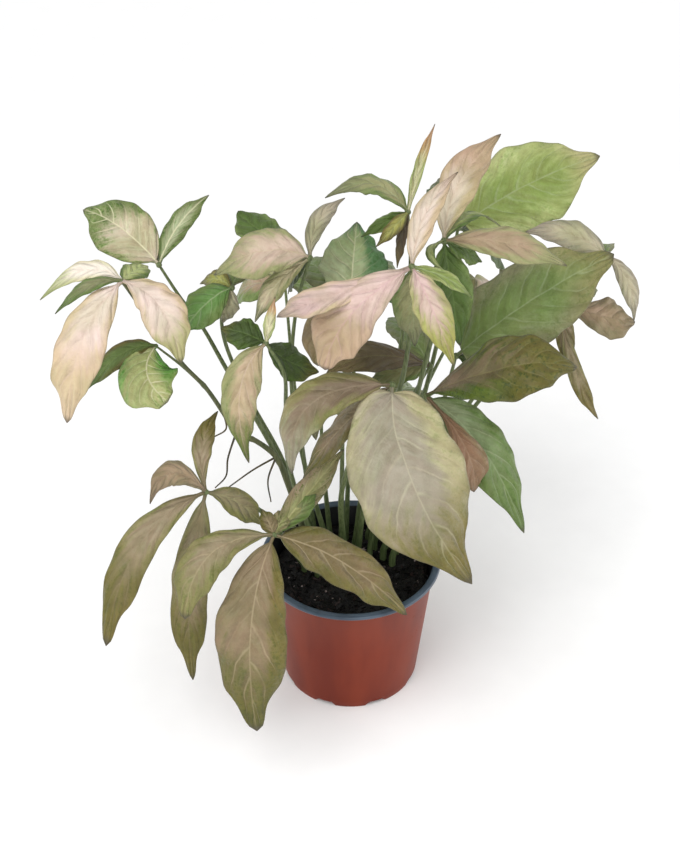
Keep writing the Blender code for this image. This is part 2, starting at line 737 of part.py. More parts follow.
def tone(leaf):
    """A leaf's overall colour: pinker where it faces the viewer, greener at the back."""
    depth = leaf.hub[2]
    pink, green = (0.50, 0.36, 0.26), (0.16, 0.24, 0.09)
    share = min(max((depth + 0.07) / 0.15, 0.0), 1.0)
    return tuple(a + (b - a) * share for a, b in zip(pink, green))


def main():
    """Clears the scene and builds every piece."""
    for old in list(bpy.data.objects):
        bpy.data.objects.remove(old)
    pot()
    feet = [(leaf.foot, leaf.thickness * PETIOLE_FOOT / 2) for leaf in LEAVES.values()]
    feet.append((STEM_FOOT, STEM_THICKNESS / 2))
    soil(feet)
    for name, leaf in LEAVES.items():
        frond(name, leaf, tone(leaf))
    climbing_stem("climbing_stem", (0.42, 0.33, 0.20))


main()
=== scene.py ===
# %% [markdown]
# # A pink syngonium in a nursery pot
#
# The real plant is a bushy syngonium: long green petioles rise from peat in a thin terracotta-coloured
# plastic pot, and each one ends in a hub with a few arched, pointed leaflets. The leaflets are pink,
# beige and taupe in the middle and green or olive towards the margins, with pale veins.
#
# The solids of the part are loaded first and stay as the frame. Every finer piece below follows the same
# numbers as the solid that it stands for, so nothing moves: it only gets thinner, smoother and coloured.

# %% Load the solids
import json
from math import cos, degrees, log, pi, radians, sin, tau
from types import SimpleNamespace
from typing import NamedTuple, Optional

import bmesh
import bpy
from mathutils import Matrix, Vector, noise


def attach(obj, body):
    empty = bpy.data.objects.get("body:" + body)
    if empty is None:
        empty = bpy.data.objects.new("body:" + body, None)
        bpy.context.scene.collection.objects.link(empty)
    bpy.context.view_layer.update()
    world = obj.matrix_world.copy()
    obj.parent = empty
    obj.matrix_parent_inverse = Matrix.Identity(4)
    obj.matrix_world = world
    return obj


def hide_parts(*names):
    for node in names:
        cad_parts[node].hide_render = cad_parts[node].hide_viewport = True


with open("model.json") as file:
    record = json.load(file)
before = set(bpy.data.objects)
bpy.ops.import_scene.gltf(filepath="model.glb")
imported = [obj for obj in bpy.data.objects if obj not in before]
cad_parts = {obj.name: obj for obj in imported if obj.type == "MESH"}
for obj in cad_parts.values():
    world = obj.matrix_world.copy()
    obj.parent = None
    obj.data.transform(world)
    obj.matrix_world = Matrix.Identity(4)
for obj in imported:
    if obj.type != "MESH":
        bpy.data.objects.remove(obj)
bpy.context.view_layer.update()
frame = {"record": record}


# %% [markdown]
# ## Camera
#
# The photograph was taken from a little over a metre, looking down at the pot. A pinhole camera needs a
# place, a tilt and a focal length in pixels. The same three numbers turn a pixel and a depth into a point
# of space, which is how every leaf was placed.

# %% The camera and the function that turns a pixel into a point
PHOTO_CENTRE = (340, 425)
PHOTO_HEIGHT = 850
FOCAL_PIXELS = 2200
EYE = Vector((-0.007, -1.106, 1.054))
LOOK_DOWN = radians(37.5)
SENSOR = 24.0


def seen(column, row, depth):
    """The point at y = depth that the photograph shows at this pixel."""
    ahead = Vector((0, cos(LOOK_DOWN), -sin(LOOK_DOWN)))
    up = Vector((0, sin(LOOK_DOWN), cos(LOOK_DOWN)))
    right = (column - PHOTO_CENTRE[0]) / FOCAL_PIXELS
    above = (PHOTO_CENTRE[1] - row) / FOCAL_PIXELS
    sight = ahead + up * above + Vector((right, 0, 0))
    return EYE + sight * ((depth - EYE.y) / sight.y)


lens = bpy.data.cameras.new("camera")
lens.sensor_fit = "VERTICAL"
lens.sensor_height = SENSOR
lens.lens = SENSOR * FOCAL_PIXELS / PHOTO_HEIGHT
camera = bpy.data.objects.new("camera", lens)
camera.location = EYE
camera.rotation_euler = (pi / 2 - LOOK_DOWN, 0, 0)
bpy.context.scene.collection.objects.link(camera)
bpy.context.scene.camera = camera
print("lens", round(lens.lens, 1), "mm, looking down", round(degrees(LOOK_DOWN), 1), "degrees")

# %% [markdown]
# ## Light and floor
#
# The photograph is a cut-out on white, lit softly from above and in front. A pale floor, an even sky and a
# wide, soft sun give that: the sky fills the shadows, the sun gives the leaves their form, and both fall
# alike on the whole floor. Two weak lamps at the sides lighten the flanks of the pot, which are paler than
# its front in the photograph. The standard view keeps paint values as they are.

# %% Floor, sky and lamps
SKY_STRENGTH = 0.66
FLOOR_SIZE = 6.0
SUN_STRENGTH = 1.56
SUN_WIDTH = radians(40)
SUN_FROM = Vector((-0.35, -0.55, 1.0))
LAMPS = (
    # name, place, what it faces, side of the square in metres, power in watts
    ("front_lamp", (0.30, -1.60, 0.75), (0.0, 0.0, 0.20), 0.9, 5.0),
    ("left_card", (-0.50, 0.0, 0.20), (0.0, 0.0, 0.05), 0.40, 0.40),
    ("right_card", (0.50, 0.0, 0.20), (0.0, 0.0, 0.05), 0.40, 0.8),
)


def lit(name, kind, place, target):
    """A lamp of this kind that faces the target from its place."""
    light = bpy.data.lights.new(name, kind)
    lamp = bpy.data.objects.new(name, light)
    lamp.location = place
    lamp.rotation_euler = (Vector(place) - Vector(target)).to_track_quat("Z", "Y").to_euler()
    bpy.context.scene.collection.objects.link(lamp)
    return light


bpy.context.scene.view_settings.view_transform = "Standard"
world = bpy.data.worlds.new("pale_sky")
world.use_nodes = True
sky = world.node_tree.nodes["Background"]
sky.inputs["Color"].default_value = (1.0, 1.0, 1.0, 1.0)
sky.inputs["Strength"].default_value = SKY_STRENGTH
bpy.context.scene.world = world

sun = lit("soft_sun", "SUN", SUN_FROM, (0.0, 0.0, 0.0))
sun.energy = SUN_STRENGTH
sun.angle = SUN_WIDTH
for name, place, target, size, power in LAMPS:
    lamp = lit(name, "AREA", place, target)
    lamp.size = size
    lamp.energy = power

ground = bmesh.new()
bmesh.ops.create_grid(ground, x_segments=1, y_segments=1, size=FLOOR_SIZE / 2)
ground_mesh = bpy.data.meshes.new("floor")
ground.to_mesh(ground_mesh)
ground.free()
floor_object = bpy.data.objects.new("floor", ground_mesh)
bpy.context.scene.collection.objects.link(floor_object)
print("lamps:", ", ".join(f"{lamp[0]} {lamp[4]:g} W" for lamp in LAMPS))

# %% [markdown]
# ## Writing materials as expressions
#
# A material is a tree of nodes, but its maths reads better as a formula. `Wire` holds one output of a node.
# Adding, subtracting or multiplying wires adds Math nodes, and `node` makes any other node. Colours are
# mixed with Mix nodes, because a Math node would turn them grey.

# %% Wires


class Wire:
    """One output socket of a node tree. Arithmetic on it adds Math nodes."""

    def __init__(self, tree, socket=None):
        self.tree = tree
        self.socket = socket

    def node(self, kind, settings=None, sockets=None, out=0):
        """A new node: its settings first, then values or links for its sockets. Returns one output."""
        made = self.tree.nodes.new(kind)
        for name, value in (settings or {}).items():
            setattr(made, name, value)
        for key, value in (sockets or {}).items():
            if isinstance(value, Wire):
                self.tree.links.new(value.socket, made.inputs[key])
            else:
                made.inputs[key].default_value = value
        return Wire(self.tree, made.outputs[out] if made.outputs else None)

    def out(self, key):
        """Another output of the same node."""
        return Wire(self.tree, self.socket.node.outputs[key])

    def math(self, operation, *values):
        return self.node("ShaderNodeMath", {"operation": operation}, dict(enumerate(values)))

    def __add__(self, other):
        return self.math("ADD", self, other)

    def __radd__(self, other):
        return self.math("ADD", other, self)

    def __sub__(self, other):
        return self.math("SUBTRACT", self, other)

    def __rsub__(self, other):
        return self.math("SUBTRACT", other, self)

    def __mul__(self, other):
        return self.math("MULTIPLY", self, other)

    def __rmul__(self, other):
        return self.math("MULTIPLY", other, self)

    def __abs__(self):
        return self.math("ABSOLUTE", self)

    def step(self, low, high):
        """0 below low, 1 above high, and a smooth change between them."""
        limits = {"Value": self, "From Min": low, "From Max": high}
        return self.node("ShaderNodeMapRange", {"interpolation_type": "SMOOTHSTEP"}, limits)

    def mix(self, first, second, mode="MIX"):
        """From the first colour to the second as this factor goes from 0 to 1."""
        settings = {"data_type": "RGBA", "blend_type": mode, "clamp_factor": True}
        return self.node("ShaderNodeMix", settings, {0: self, 6: first, 7: second}, out=2)

    def place(self):
        """Where a point is in its object's own space, in metres."""
        return self.node("ShaderNodeTexCoord", out="Object")

    def read(self, label, out="Fac"):
        """A number, or with out="Color" a colour, that the mesh keeps under this name."""
        return self.node("ShaderNodeAttribute", {"attribute_name": label}, out=out)

    def stretched(self, factors):
        """This place with each of its three parts multiplied by its own factor."""
        return self.node("ShaderNodeVectorMath", {"operation": "MULTIPLY"}, {0: self, 1: factors})

    def part(self, axis):
        """One of the three parts of this place: X, Y or Z."""
        return self.node("ShaderNodeSeparateXYZ", {}, {0: self}, out=axis)

    def noise(self, place, scale, detail=2.0, roughness=0.5):
        """A cloudy pattern from 0 to 1 at this scale, in cells to a metre."""
        values = {"Vector": place, "Scale": scale, "Detail": detail, "Roughness": roughness}
        return self.node("ShaderNodeTexNoise", {}, values)


def linear(colour, alpha=1.0):
    """A colour as a picture shows it, in the values that a shader wants."""
    return (*(c / 12.92 if c <= 0.04045 else ((c + 0.055) / 1.055) ** 2.4 for c in colour), alpha)


def new_material(name):
    """A material, the wire to its tree, and its shader's inputs."""
    material = bpy.data.materials.new(name)
    material.use_nodes = True
    shader = material.node_tree.nodes["Principled BSDF"]
    return material, Wire(material.node_tree), shader.inputs


def plug(wire, socket):
    """Links a wire to a socket of the shader."""
    wire.tree.links.new(wire.socket, socket)


def bumped(wire, height, strength, distance):
    """A normal that follows the height, whose full range is the distance in metres."""
    return wire.node("ShaderNodeBump", {}, {"Height": height, "Strength": strength, "Distance": distance})


print("Wire can do", ", ".join(sorted(n for n in vars(Wire) if not n.startswith("_"))))

# %% [markdown]
# ## Floor finish
#
# A plain matte white sheet with a trace of paper grain, so that it isn't one flat number.

# %% Paper white
PAPER_DARK, PAPER_LIGHT = (0.955, 0.955, 0.955), (0.975, 0.975, 0.975)
paper, wire, sheet = new_material("white_paper")
grain = wire.noise(wire.place(), 40.0, 3.0)
plug(grain.mix(linear(PAPER_DARK), linear(PAPER_LIGHT)), sheet["Base Color"])
sheet["Roughness"].default_value = 0.9
sheet["Specular IOR Level"].default_value = 0.1
floor_object.data.materials.append(paper)
print("floor finish:", paper.name)

# %% [markdown]
# ## Leaf colours
#
# The leaves aren't one green. Young ones are pink in the middle, older ones taupe or sage, and most turn
# green or olive at the margins and the tip. So each leaflet gets a skin: which paint its middle, margin,
# veins and tip have, and how far each reaches. The paints are mixed and named as on a colour card,
# because a name such as "taupe" says more in the table of leaves than three numbers would.

# %% Paints and skins
PAINTS = {
    "milk": (0.97, 0.94, 0.88),
    "cream": (0.90, 0.88, 0.73),
    "blush": (0.925, 0.85, 0.81),
    "shell": (0.88, 0.82, 0.71),
    "pink": (0.89, 0.78, 0.76),
    "petal": (0.83, 0.74, 0.68),
    "magenta": (0.80, 0.62, 0.66),
    "peach": (0.85, 0.76, 0.63),
    "salmon": (0.85, 0.66, 0.48),
    "sand": (0.80, 0.71, 0.60),
    "tan": (0.76, 0.65, 0.55),
    "rose": (0.71, 0.61, 0.52),
    "beige": (0.72, 0.65, 0.52),
    "fog": (0.76, 0.73, 0.63),
    "wheat": (0.74, 0.71, 0.56),
    "ash": (0.65, 0.62, 0.55),
    "stone": (0.63, 0.57, 0.47),
    "taupe": (0.57, 0.50, 0.39),
    "mauve": (0.54, 0.47, 0.39),
    "umber": (0.51, 0.44, 0.30),
    "brown": (0.40, 0.34, 0.26),
    "rust": (0.58, 0.45, 0.34),
    "khaki": (0.55, 0.53, 0.33),
    "olive": (0.46, 0.42, 0.19),
    "lichen": (0.64, 0.64, 0.46),
    "hay": (0.73, 0.71, 0.51),
    "straw": (0.68, 0.68, 0.36),
    "moss": (0.40, 0.385, 0.135),
    "leek": (0.38, 0.46, 0.10),
    "reed": (0.54, 0.55, 0.40),
    "dew": (0.56, 0.62, 0.47),
    "sage": (0.49, 0.57, 0.32),
    "fern": (0.42, 0.51, 0.26),
    "ivy": (0.33, 0.43, 0.16),
    "forest": (0.26, 0.34, 0.13),
    "bright": (0.39, 0.55, 0.27),
    "clover": (0.46, 0.72, 0.32),
    "teal": (0.37, 0.53, 0.35),
    "lime": (0.57, 0.64, 0.34),
    "celery": (0.74, 0.78, 0.53),
    "mist": (0.67, 0.72, 0.56),
}


class Skin(NamedTuple):
    """The paints of one leaflet, and how they share its surface."""

    centre: str
    margin: str
    vein: str
    tip: str
    reach: float = 0.60  # how far the centre's paint goes, from 0 at the midrib to 1 at the margin
    turn: float = 0.78  # where along the blade the tip's paint takes over
    veins: float = 0.40  # how strongly the veins show
    flecks: float = 0.35  # how much darker green is scattered between the veins
    lean: float = 0.0  # how much sooner the margin's paint starts on the right half than on the left


SKINS = {
    "clay": Skin("taupe", "olive", "beige", "moss", 0.72, 0.74, 0.52, 0.50, -0.40),
    "clay_light": Skin("stone", "khaki", "lichen", "khaki", 0.62, 0.80, 0.40, 0.30),
    "clay_rose": Skin("stone", "khaki", "beige", "khaki", 0.64, 0.76, 0.42, 0.45),
    "clay_olive": Skin("umber", "olive", "beige", "olive", 0.62, 0.80, 0.62, 0.40),
    "striped": Skin("lichen", "stone", "hay", "khaki", 0.46, 0.80, 0.60, 0.95),
    "dusk": Skin("stone", "khaki", "taupe", "olive", 0.70, 0.64, 0.35, 0.45),
    "dusk_rose": Skin("rose", "stone", "mauve", "taupe", 0.60, 0.70, 0.35, 0.25),
    "big": Skin("ash", "wheat", "cream", "olive", 0.68, 0.74, 0.24, 0.32, -0.20),
    "big_side": Skin("mauve", "khaki", "stone", "ash", 0.55, 0.76, 0.40, 0.35, 0.15),
    "mauve_green": Skin("mauve", "leek", "khaki", "moss", 0.56, 0.50, 0.40, 0.90, 0.30),
    "sage": Skin("sage", "reed", "mist", "fern", 0.60, 0.80, 0.42, 0.45),
    "sage_big": Skin("sage", "reed", "mist", "khaki", 0.60, 0.80, 0.45, 0.50),
    "sage_dark": Skin("dew", "fern", "mist", "fern", 0.60, 0.62, 0.45, 0.45),
    "reed": Skin("reed", "fern", "sage", "fern", 0.60, 0.70, 0.25, 0.35),
    "haze": Skin("lichen", "sage", "mist", "reed", 0.64, 0.70, 0.30, 0.35),
    "sage_rose": Skin("rose", "sage", "mist", "fern", 0.50, 0.70, 0.40, 0.35),
    "rose": Skin("rose", "lichen", "beige", "lichen", 0.74, 0.74, 0.30, 0.20),
    "rust": Skin("rust", "umber", "tan", "rust", 0.70, 0.80, 0.30, 0.30),
    "blossom": Skin("blush", "peach", "tan", "sand", 0.60, 0.84, 0.28, 0.12, 0.15),
    "blossom_tan": Skin("blush", "peach", "tan", "tan", 0.66, 0.60, 0.32, 0.15, 0.15),
    "fold": Skin("pink", "peach", "tan", "petal", 0.74, 0.90, 0.15, 0.05),
    "pink_veined": Skin("pink", "petal", "magenta", "tan", 0.76, 0.50, 0.34, 0.05),
    "pink_olive": Skin("pink", "hay", "magenta", "straw", 0.62, 0.68, 0.45, 0.25, -0.10),
    "blush": Skin("blush", "peach", "petal", "peach", 0.74, 0.58, 0.34, 0.05),
    "blush_green": Skin("blush", "peach", "petal", "hay", 0.70, 0.78, 0.36, 0.08, -0.12),
    "blush_cream": Skin("milk", "cream", "petal", "celery", 0.70, 0.76, 0.20, 0.05),
    # painted shade: dark brown for leaflets that lie in the shadow of the leaves above them
    "shade": Skin("brown", "brown", "khaki", "umber", 0.60, 0.75, 0.25, 0.40),
    "lime": Skin("lime", "celery", "mist", "hay", 0.58, 0.84, 0.45, 0.45, -0.12),
    "spear": Skin("cream", "celery", "milk", "salmon", 0.60, 0.74, 0.30, 0.05),
    "straw": Skin("straw", "olive", "celery", "olive", 0.60, 0.80, 0.40, 0.30),
    "young": Skin("celery", "fern", "mist", "celery", 0.60, 0.90, 0.30, 0.30),
    "sprout": Skin("lime", "celery", "mist", "lime", 0.70, 0.90, 0.50, 0.60),
    "forest": Skin("forest", "ivy", "fern", "moss", 0.80, 0.85, 0.40, 0.50),
    "forest_edge": Skin("ivy", "sage", "fern", "ivy", 0.80, 0.90, 0.40, 0.50),
    "ivy": Skin("fern", "olive", "sage", "ivy", 0.64, 0.80, 0.40, 0.60),
    "ash_green": Skin("petal", "lichen", "hay", "lichen", 0.66, 0.74, 0.28, 0.30),
    "ash": Skin("fog", "ash", "stone", "ash", 0.60, 0.80, 0.35, 0.30),
    "fog": Skin("shell", "lichen", "cream", "reed", 0.56, 0.84, 0.55, 0.45),
    "teal": Skin("mist", "teal", "cream", "teal", 0.66, 0.90, 0.55, 0.60, 0.70),
    "bright": Skin("bright", "fern", "mist", "bright", 0.60, 0.85, 0.55, 0.35),
    "marbled": Skin("blush", "lime", "cream", "sage", 0.86, 0.60, 0.92, 0.90),
    "marbled_small": Skin("mist", "fern", "cream", "sage", 0.52, 0.80, 0.85, 0.80),
    "marbled_green": Skin("celery", "clover", "cream", "celery", 0.60, 0.84, 0.95, 0.80, -0.40),
    "rose_moss": Skin("sand", "lichen", "petal", "leek", 0.62, 0.80, 0.40, 0.30, 0.25),
}
print(len(PAINTS), "paints,", len(SKINS), "skins")

# %% [markdown]
# ## The plant, leaf by leaf
#
# Each leaf has a hub, a foot in the peat, a route for its petiole and a few leaflets. A leaflet is given by
# where its tip is, how wide it is, and how it arches, folds and waves. A place is a column and a row of the
# photograph and a depth. These are the same numbers as the solids have, with a skin for each leaflet.

# %% What a leaf is


class Leaflet(NamedTuple):
    """One blade. A place is (photograph column, photograph row, depth): see seen()."""

    tip: tuple
    width: float
    skin: str
    via: Optional[tuple] = None  # half-way along the midrib, where it curves sideways
    arch: float = 0.10  # how far the midrib rises over its chord, as a share of the chord
    roll: float = 0.0  # degrees about the midrib, from facing the light
    belly: float = 0.45  # where along the blade it is widest
    full: float = 1.0  # below 1 the sides are fuller and the tip is blunter
    fold: float = 0.30  # how steeply the halves rise from the midrib
    dome: float = 0.36  # how much the edges fall again
    wave: float = 0.10  # height of the edge's waves, as a share of the half width
    lobes: float = 0.0  # how far the sides reach back past the base, as a share of the half width


class Leaf(NamedTuple):
    """A compound leaf. foot is where the petiole enters the soil, in metres, or None on the stem."""

    hub: tuple
    foot: Optional[tuple]
    route: tuple  # places along the petiole, from the soil up
    leaflets: tuple
    thickness: float = 0.0026  # of the petiole, below the hub


print("a leaf is", Leaf._fields)

# %% Every leaf's numbers
LEAVES = {
    "leaf_low_front": Leaf(
        hub=(274, 535, -0.070), foot=(-0.022, -0.004), route=((285, 515, -0.045),),
        leaflets=(
            Leaflet(
                (257, 731, -0.125), 0.044, "clay",
                via=(251, 628, -0.110), belly=0.56, full=0.72, wave=0.16,
            ),
            Leaflet((185, 619, -0.112), 0.027, "clay_rose", via=(210, 555, -0.092), belly=0.62, full=0.70),
            Leaflet((407, 615, -0.064), 0.031, "clay_olive", via=(345, 564, -0.060), belly=0.46, full=0.80),
            Leaflet((344, 449, -0.012), 0.018, "striped", arch=0.04, belly=0.44, roll=15),
            Leaflet((262, 509, -0.056), 0.011, "clay", arch=0.10, wave=0.2),
            Leaflet((290, 506, -0.050), 0.011, "striped", arch=0.12, wave=0.3),
            Leaflet((316, 494, -0.046), 0.013, "reed", via=(299, 511, -0.056), belly=0.5),
        ),
    ),
    "leaf_low_left": Leaf(
        hub=(206, 492, -0.060), foot=(-0.031, 0.001), route=((262, 512, -0.028), (232, 502, -0.045)),
        leaflets=(
            Leaflet((218, 411, -0.020), 0.013, "dusk", via=(202, 448, -0.042), belly=0.55),
            Leaflet((150, 504, -0.085), 0.016, "dusk_rose", via=(172, 473, -0.070), roll=-20),
            Leaflet((106, 646, -0.112), 0.024, "dusk", via=(139, 546, -0.088), belly=0.60, full=0.70),
            Leaflet(
                (193, 680, -0.090), 0.024, "dusk",
                via=(190, 588, -0.074), belly=0.50, full=0.85, wave=0.18,
            ),
            Leaflet((262, 525, -0.050), 0.019, "clay_light", via=(238, 503, -0.050), belly=0.55),
        ),
    ),
    "leaf_front_big": Leaf(
        hub=(392, 385, -0.060), foot=(-0.004, 0.014), route=((342, 490, -0.010), (368, 420, -0.040)),
        leaflets=(
            Leaflet(
                (472, 584, -0.112), 0.070, "big",
                via=(411, 480, -0.100), belly=0.44, fold=0.14, dome=0.24, lobes=0.16,
            ),
            Leaflet((292, 474, -0.085), 0.027, "big_side", via=(310, 405, -0.078), fold=0.2, full=0.9),
            Leaflet((303, 478, -0.050), 0.022, "clay", via=(340, 430, -0.052), roll=20),
        ),
        thickness=0.003,
    ),
    "leaf_right_big": Leaf(
        hub=(426, 396, -0.024), foot=(0.022, 0.016), route=((400, 505, 0.006), (412, 445, -0.008)),
        leaflets=(
            Leaflet(
                (577, 367, -0.046), 0.044, "mauve_green",
                via=(505, 367, -0.050), belly=0.54, full=0.95,
            ),
            Leaflet((524, 533, -0.055), 0.034, "sage_dark", via=(483, 450, -0.040), wave=0.18),
            Leaflet((474, 492, -0.050), 0.022, "rust", via=(465, 447, -0.052), belly=0.70),
        ),
        thickness=0.003,
    ),
    "leaf_right_upper": Leaf(
        hub=(456, 356, 0.002), foot=(0.028, 0.009), route=((424, 470, 0.008), (444, 400, 0.004)),
        leaflets=(
            Leaflet(
                (614, 254, 0.018), 0.057, "sage_big",
                via=(529, 302, 0.003), full=0.78, belly=0.46, fold=0.18, dome=0.24, lobes=0.1,
            ),
            Leaflet((510, 378, 0.004), 0.017, "forest", arch=0.12),
        ),
        thickness=0.003,
    ),
    "leaf_crown_front": Leaf(
        hub=(412, 267, -0.050), foot=(0.005, 0.016),
        route=((366, 500, 0.002), (402, 380, -0.018), (411, 310, -0.030)),
        leaflets=(
            Leaflet((458, 172, -0.004), 0.016, "blossom", via=(426, 213, -0.028), roll=-15),
            Leaflet((277, 317, -0.098), 0.018, "fold", via=(333, 295, -0.062), belly=0.60),
            Leaflet(
                (325, 370, -0.080), 0.034, "pink_veined",
                via=(350, 316, -0.068), belly=0.58, full=0.66,
            ),
            Leaflet((318, 366, -0.052), 0.026, "shade", via=(332, 318, -0.050), belly=0.62, full=0.7),
            Leaflet((454, 366, -0.092), 0.021, "pink_olive", arch=0.10, belly=0.45),
            Leaflet((415, 346, -0.030), 0.024, "haze", arch=-0.04, belly=0.5),
            Leaflet((472, 298, -0.046), 0.009, "sprout", via=(446, 278, -0.049), wave=0.2),
        ),
        thickness=0.003,
    ),
    "leaf_crown_right": Leaf(
        hub=(444, 241, -0.010), foot=(0.016, 0.024),
        route=((392, 488, 0.017), (426, 360, -0.008), (446, 280, -0.006)),
        leaflets=(
            Leaflet((501, 134, 0.045), 0.023, "blossom_tan", via=(459, 183, 0.018), belly=0.5, roll=10),
            Leaflet((567, 266, -0.020), 0.021, "rose", via=(505, 243, -0.018), belly=0.5),
            Leaflet((460, 346, -0.016), 0.026, "forest_edge", via=(452, 290, -0.014), belly=0.5),
            Leaflet((482, 262, 0.004), 0.016, "forest_edge", arch=0.05, belly=0.5),
            Leaflet((505, 231, 0.030), 0.014, "young", via=(472, 214, 0.018), roll=-35),
            Leaflet((447, 273, -0.036), 0.0055, "young", via=(430, 253, -0.030)),
        ),
        thickness=0.003,
    ),
    "leaf_top_green": Leaf(
        hub=(458, 228, 0.062), foot=(0.024, 0.026), route=((410, 450, 0.026), (440, 330, 0.040)),
        leaflets=(
            Leaflet(
                (600, 156, 0.092), 0.059, "lime",
                via=(527, 185, 0.084), full=0.95, belly=0.43, fold=0.16, dome=0.24, lobes=0.1,
            ),
            Leaflet((500, 282, 0.120), 0.026, "forest", arch=0.10),
            Leaflet((440, 178, 0.130), 0.028, "forest", arch=0.10),
        ),
        thickness=0.003,
    ),
    "leaf_far_right": Leaf(
        hub=(607, 256, 0.036), foot=(0.031, 0.019), route=((450, 440, 0.018), (540, 330, 0.026)),
        leaflets=(
            Leaflet((524, 233, 0.040), 0.020, "ash", via=(568, 234, 0.044), belly=0.40),
            Leaflet((634, 321, 0.020), 0.012, "ash", via=(628, 282, 0.028), belly=0.5),
            Leaflet((588, 268, 0.105), 0.020, "sage", arch=0.12),
        ),
    ),
    "leaf_right_behind": Leaf(
        hub=(560, 305, 0.050), foot=(0.032, 0.027), route=((452, 430, 0.038), (515, 345, 0.048)),
        leaflets=(
            Leaflet((635, 322, 0.050), 0.027, "dusk_rose", via=(603, 316, 0.044), belly=0.6),
            Leaflet((569, 367, 0.034), 0.013, "dusk", arch=0.08),
            Leaflet((598, 419, 0.022), 0.011, "dusk", via=(574, 368, 0.026), belly=0.6),
            Leaflet((585, 290, 0.120), 0.026, "sage", arch=0.12),
        ),
    ),
    "leaf_top_young": Leaf(
        hub=(408, 212, 0.030), foot=(0.013, 0.016),
        route=((382, 470, 0.010), (400, 350, 0.014), (410, 270, 0.024)),
        leaflets=(
            Leaflet((325, 198, 0.045), 0.018, "haze", via=(372, 184, 0.050), roll=20),
            Leaflet((435, 124, 0.045), 0.0065, "spear", via=(420, 166, 0.040), fold=1.1, belly=0.45),
            Leaflet((361, 237, 0.012), 0.010, "forest_edge", arch=0.05),
            Leaflet((376, 247, -0.004), 0.009, "straw", arch=0.03, roll=-20),
            Leaflet((397, 268, 0.014), 0.009, "shade", arch=0.04, roll=40),
        ),
    ),
    "leaf_crown_left": Leaf(
        hub=(310, 258, -0.010), foot=(-0.013, 0.012),
        route=((306, 470, 0.004), (293, 400, 0.000), (292, 350, -0.004), (298, 300, -0.006)),
        leaflets=(
            Leaflet((214, 275, 0.002), 0.033, "ash_green", via=(263, 251, -0.008), belly=0.48),
            Leaflet((238, 211, 0.052), 0.024, "forest_edge", via=(262, 232, 0.030), belly=0.55),
            Leaflet((345, 198, 0.038), 0.012, "ash", via=(318, 222, 0.020), belly=0.5),
            Leaflet((255, 322, -0.012), 0.014, "fog", via=(275, 286, -0.012), belly=0.5),
            Leaflet((288, 294, 0.016), 0.014, "forest", arch=0.05),
        ),
    ),
    "leaf_middle_back": Leaf(
        hub=(350, 300, 0.004), foot=(-0.006, 0.026), route=((342, 470, 0.010), (344, 380, 0.006)),
        leaflets=(
            Leaflet((357, 222, 0.058), 0.041, "teal", arch=0.10, belly=0.36),
            Leaflet((392, 262, 0.070), 0.024, "sage", arch=0.12),
            Leaflet((300, 262, 0.070), 0.024, "sage", arch=0.12),
        ),
    ),
    "leaf_left_middle": Leaf(
        hub=(232, 288, 0.004), foot=(-0.028, 0.021),
        route=((286, 468, 0.010), (250, 400, 0.012), (226, 345, 0.008), (222, 310, 0.006)),
        leaflets=(
            Leaflet((200, 284, 0.026), 0.012, "straw", via=(216, 279, 0.014), roll=-25),
            Leaflet((180, 336, -0.010), 0.024, "bright", via=(206, 304, -0.004), belly=0.5),
            Leaflet((223, 323, 0.000), 0.015, "ash", arch=0.10),
            Leaflet((248, 262, 0.060), 0.020, "sage", arch=0.12),
        ),
    ),
    "leaf_upper_left": Leaf(
        hub=(159, 265, 0.022), foot=(-0.020, 0.019),
        route=((278, 458, 0.002), (227, 370, 0.002), (203, 328, 0.012), (180, 297, 0.018)),
        leaflets=(
            Leaflet(
                (83, 210, 0.052), 0.038, "marbled",
                via=(120, 227, 0.040), belly=0.46, full=0.92, fold=0.2, wave=0.03,
            ),
            Leaflet((209, 195, 0.060), 0.015, "marbled_small", via=(178, 226, 0.042), belly=0.5),
            Leaflet((136, 262, 0.100), 0.022, "sage", arch=0.12),
        ),
    ),
    "leaf_middle_left": Leaf(
        hub=(266, 343, -0.030), foot=(-0.020, 0.005),
        route=((290, 470, -0.014), (286, 410, -0.028), (284, 374, -0.038)),
        leaflets=(
            Leaflet((249, 463, -0.052), 0.023, "rose_moss", via=(240, 392, -0.048), belly=0.45),
            Leaflet((221, 328, -0.018), 0.020, "forest", arch=0.10, belly=0.5),
            Leaflet((319, 372, -0.020), 0.023, "forest", via=(290, 362, -0.022), belly=0.5),
            Leaflet((275, 297, -0.030), 0.007, "spear", arch=0.03),
        ),
    ),
    "leaf_middle_right": Leaf(
        hub=(430, 366, 0.008), foot=(0.003, 0.025), route=((366, 480, 0.021), (404, 410, 0.019)),
        leaflets=(
            Leaflet((367, 384, 0.000), 0.019, "haze", via=(398, 372, 0.003), belly=0.5),
            Leaflet((326, 374, -0.014), 0.020, "shade", via=(374, 356, -0.006), belly=0.5),
            Leaflet((388, 318, 0.085), 0.022, "sage", arch=0.12),
        ),
    ),
    "leaf_back_left": Leaf(
        hub=(285, 285, 0.110), foot=(-0.024, 0.031), route=((296, 400, 0.060),),
        leaflets=(
            Leaflet((236, 300, 0.150), 0.030, "sage_rose", arch=0.14),
            Leaflet((282, 262, 0.190), 0.036, "ash_green", arch=0.14),
            Leaflet((318, 302, 0.148), 0.026, "sage", arch=0.14),
        ),
    ),
    "leaf_back_middle": Leaf(
        hub=(360, 290, 0.118), foot=(-0.003, 0.036), route=((352, 400, 0.064),),
        leaflets=(
            Leaflet((338, 325, 0.160), 0.028, "sage", arch=0.14),
            Leaflet((372, 290, 0.205), 0.038, "sage_rose", arch=0.14),
            Leaflet((415, 306, 0.165), 0.028, "teal", arch=0.14),
        ),
    ),
    "leaf_back_right": Leaf(
        hub=(472, 300, 0.110), foot=(0.012, 0.034), route=((420, 400, 0.062),),
        leaflets=(
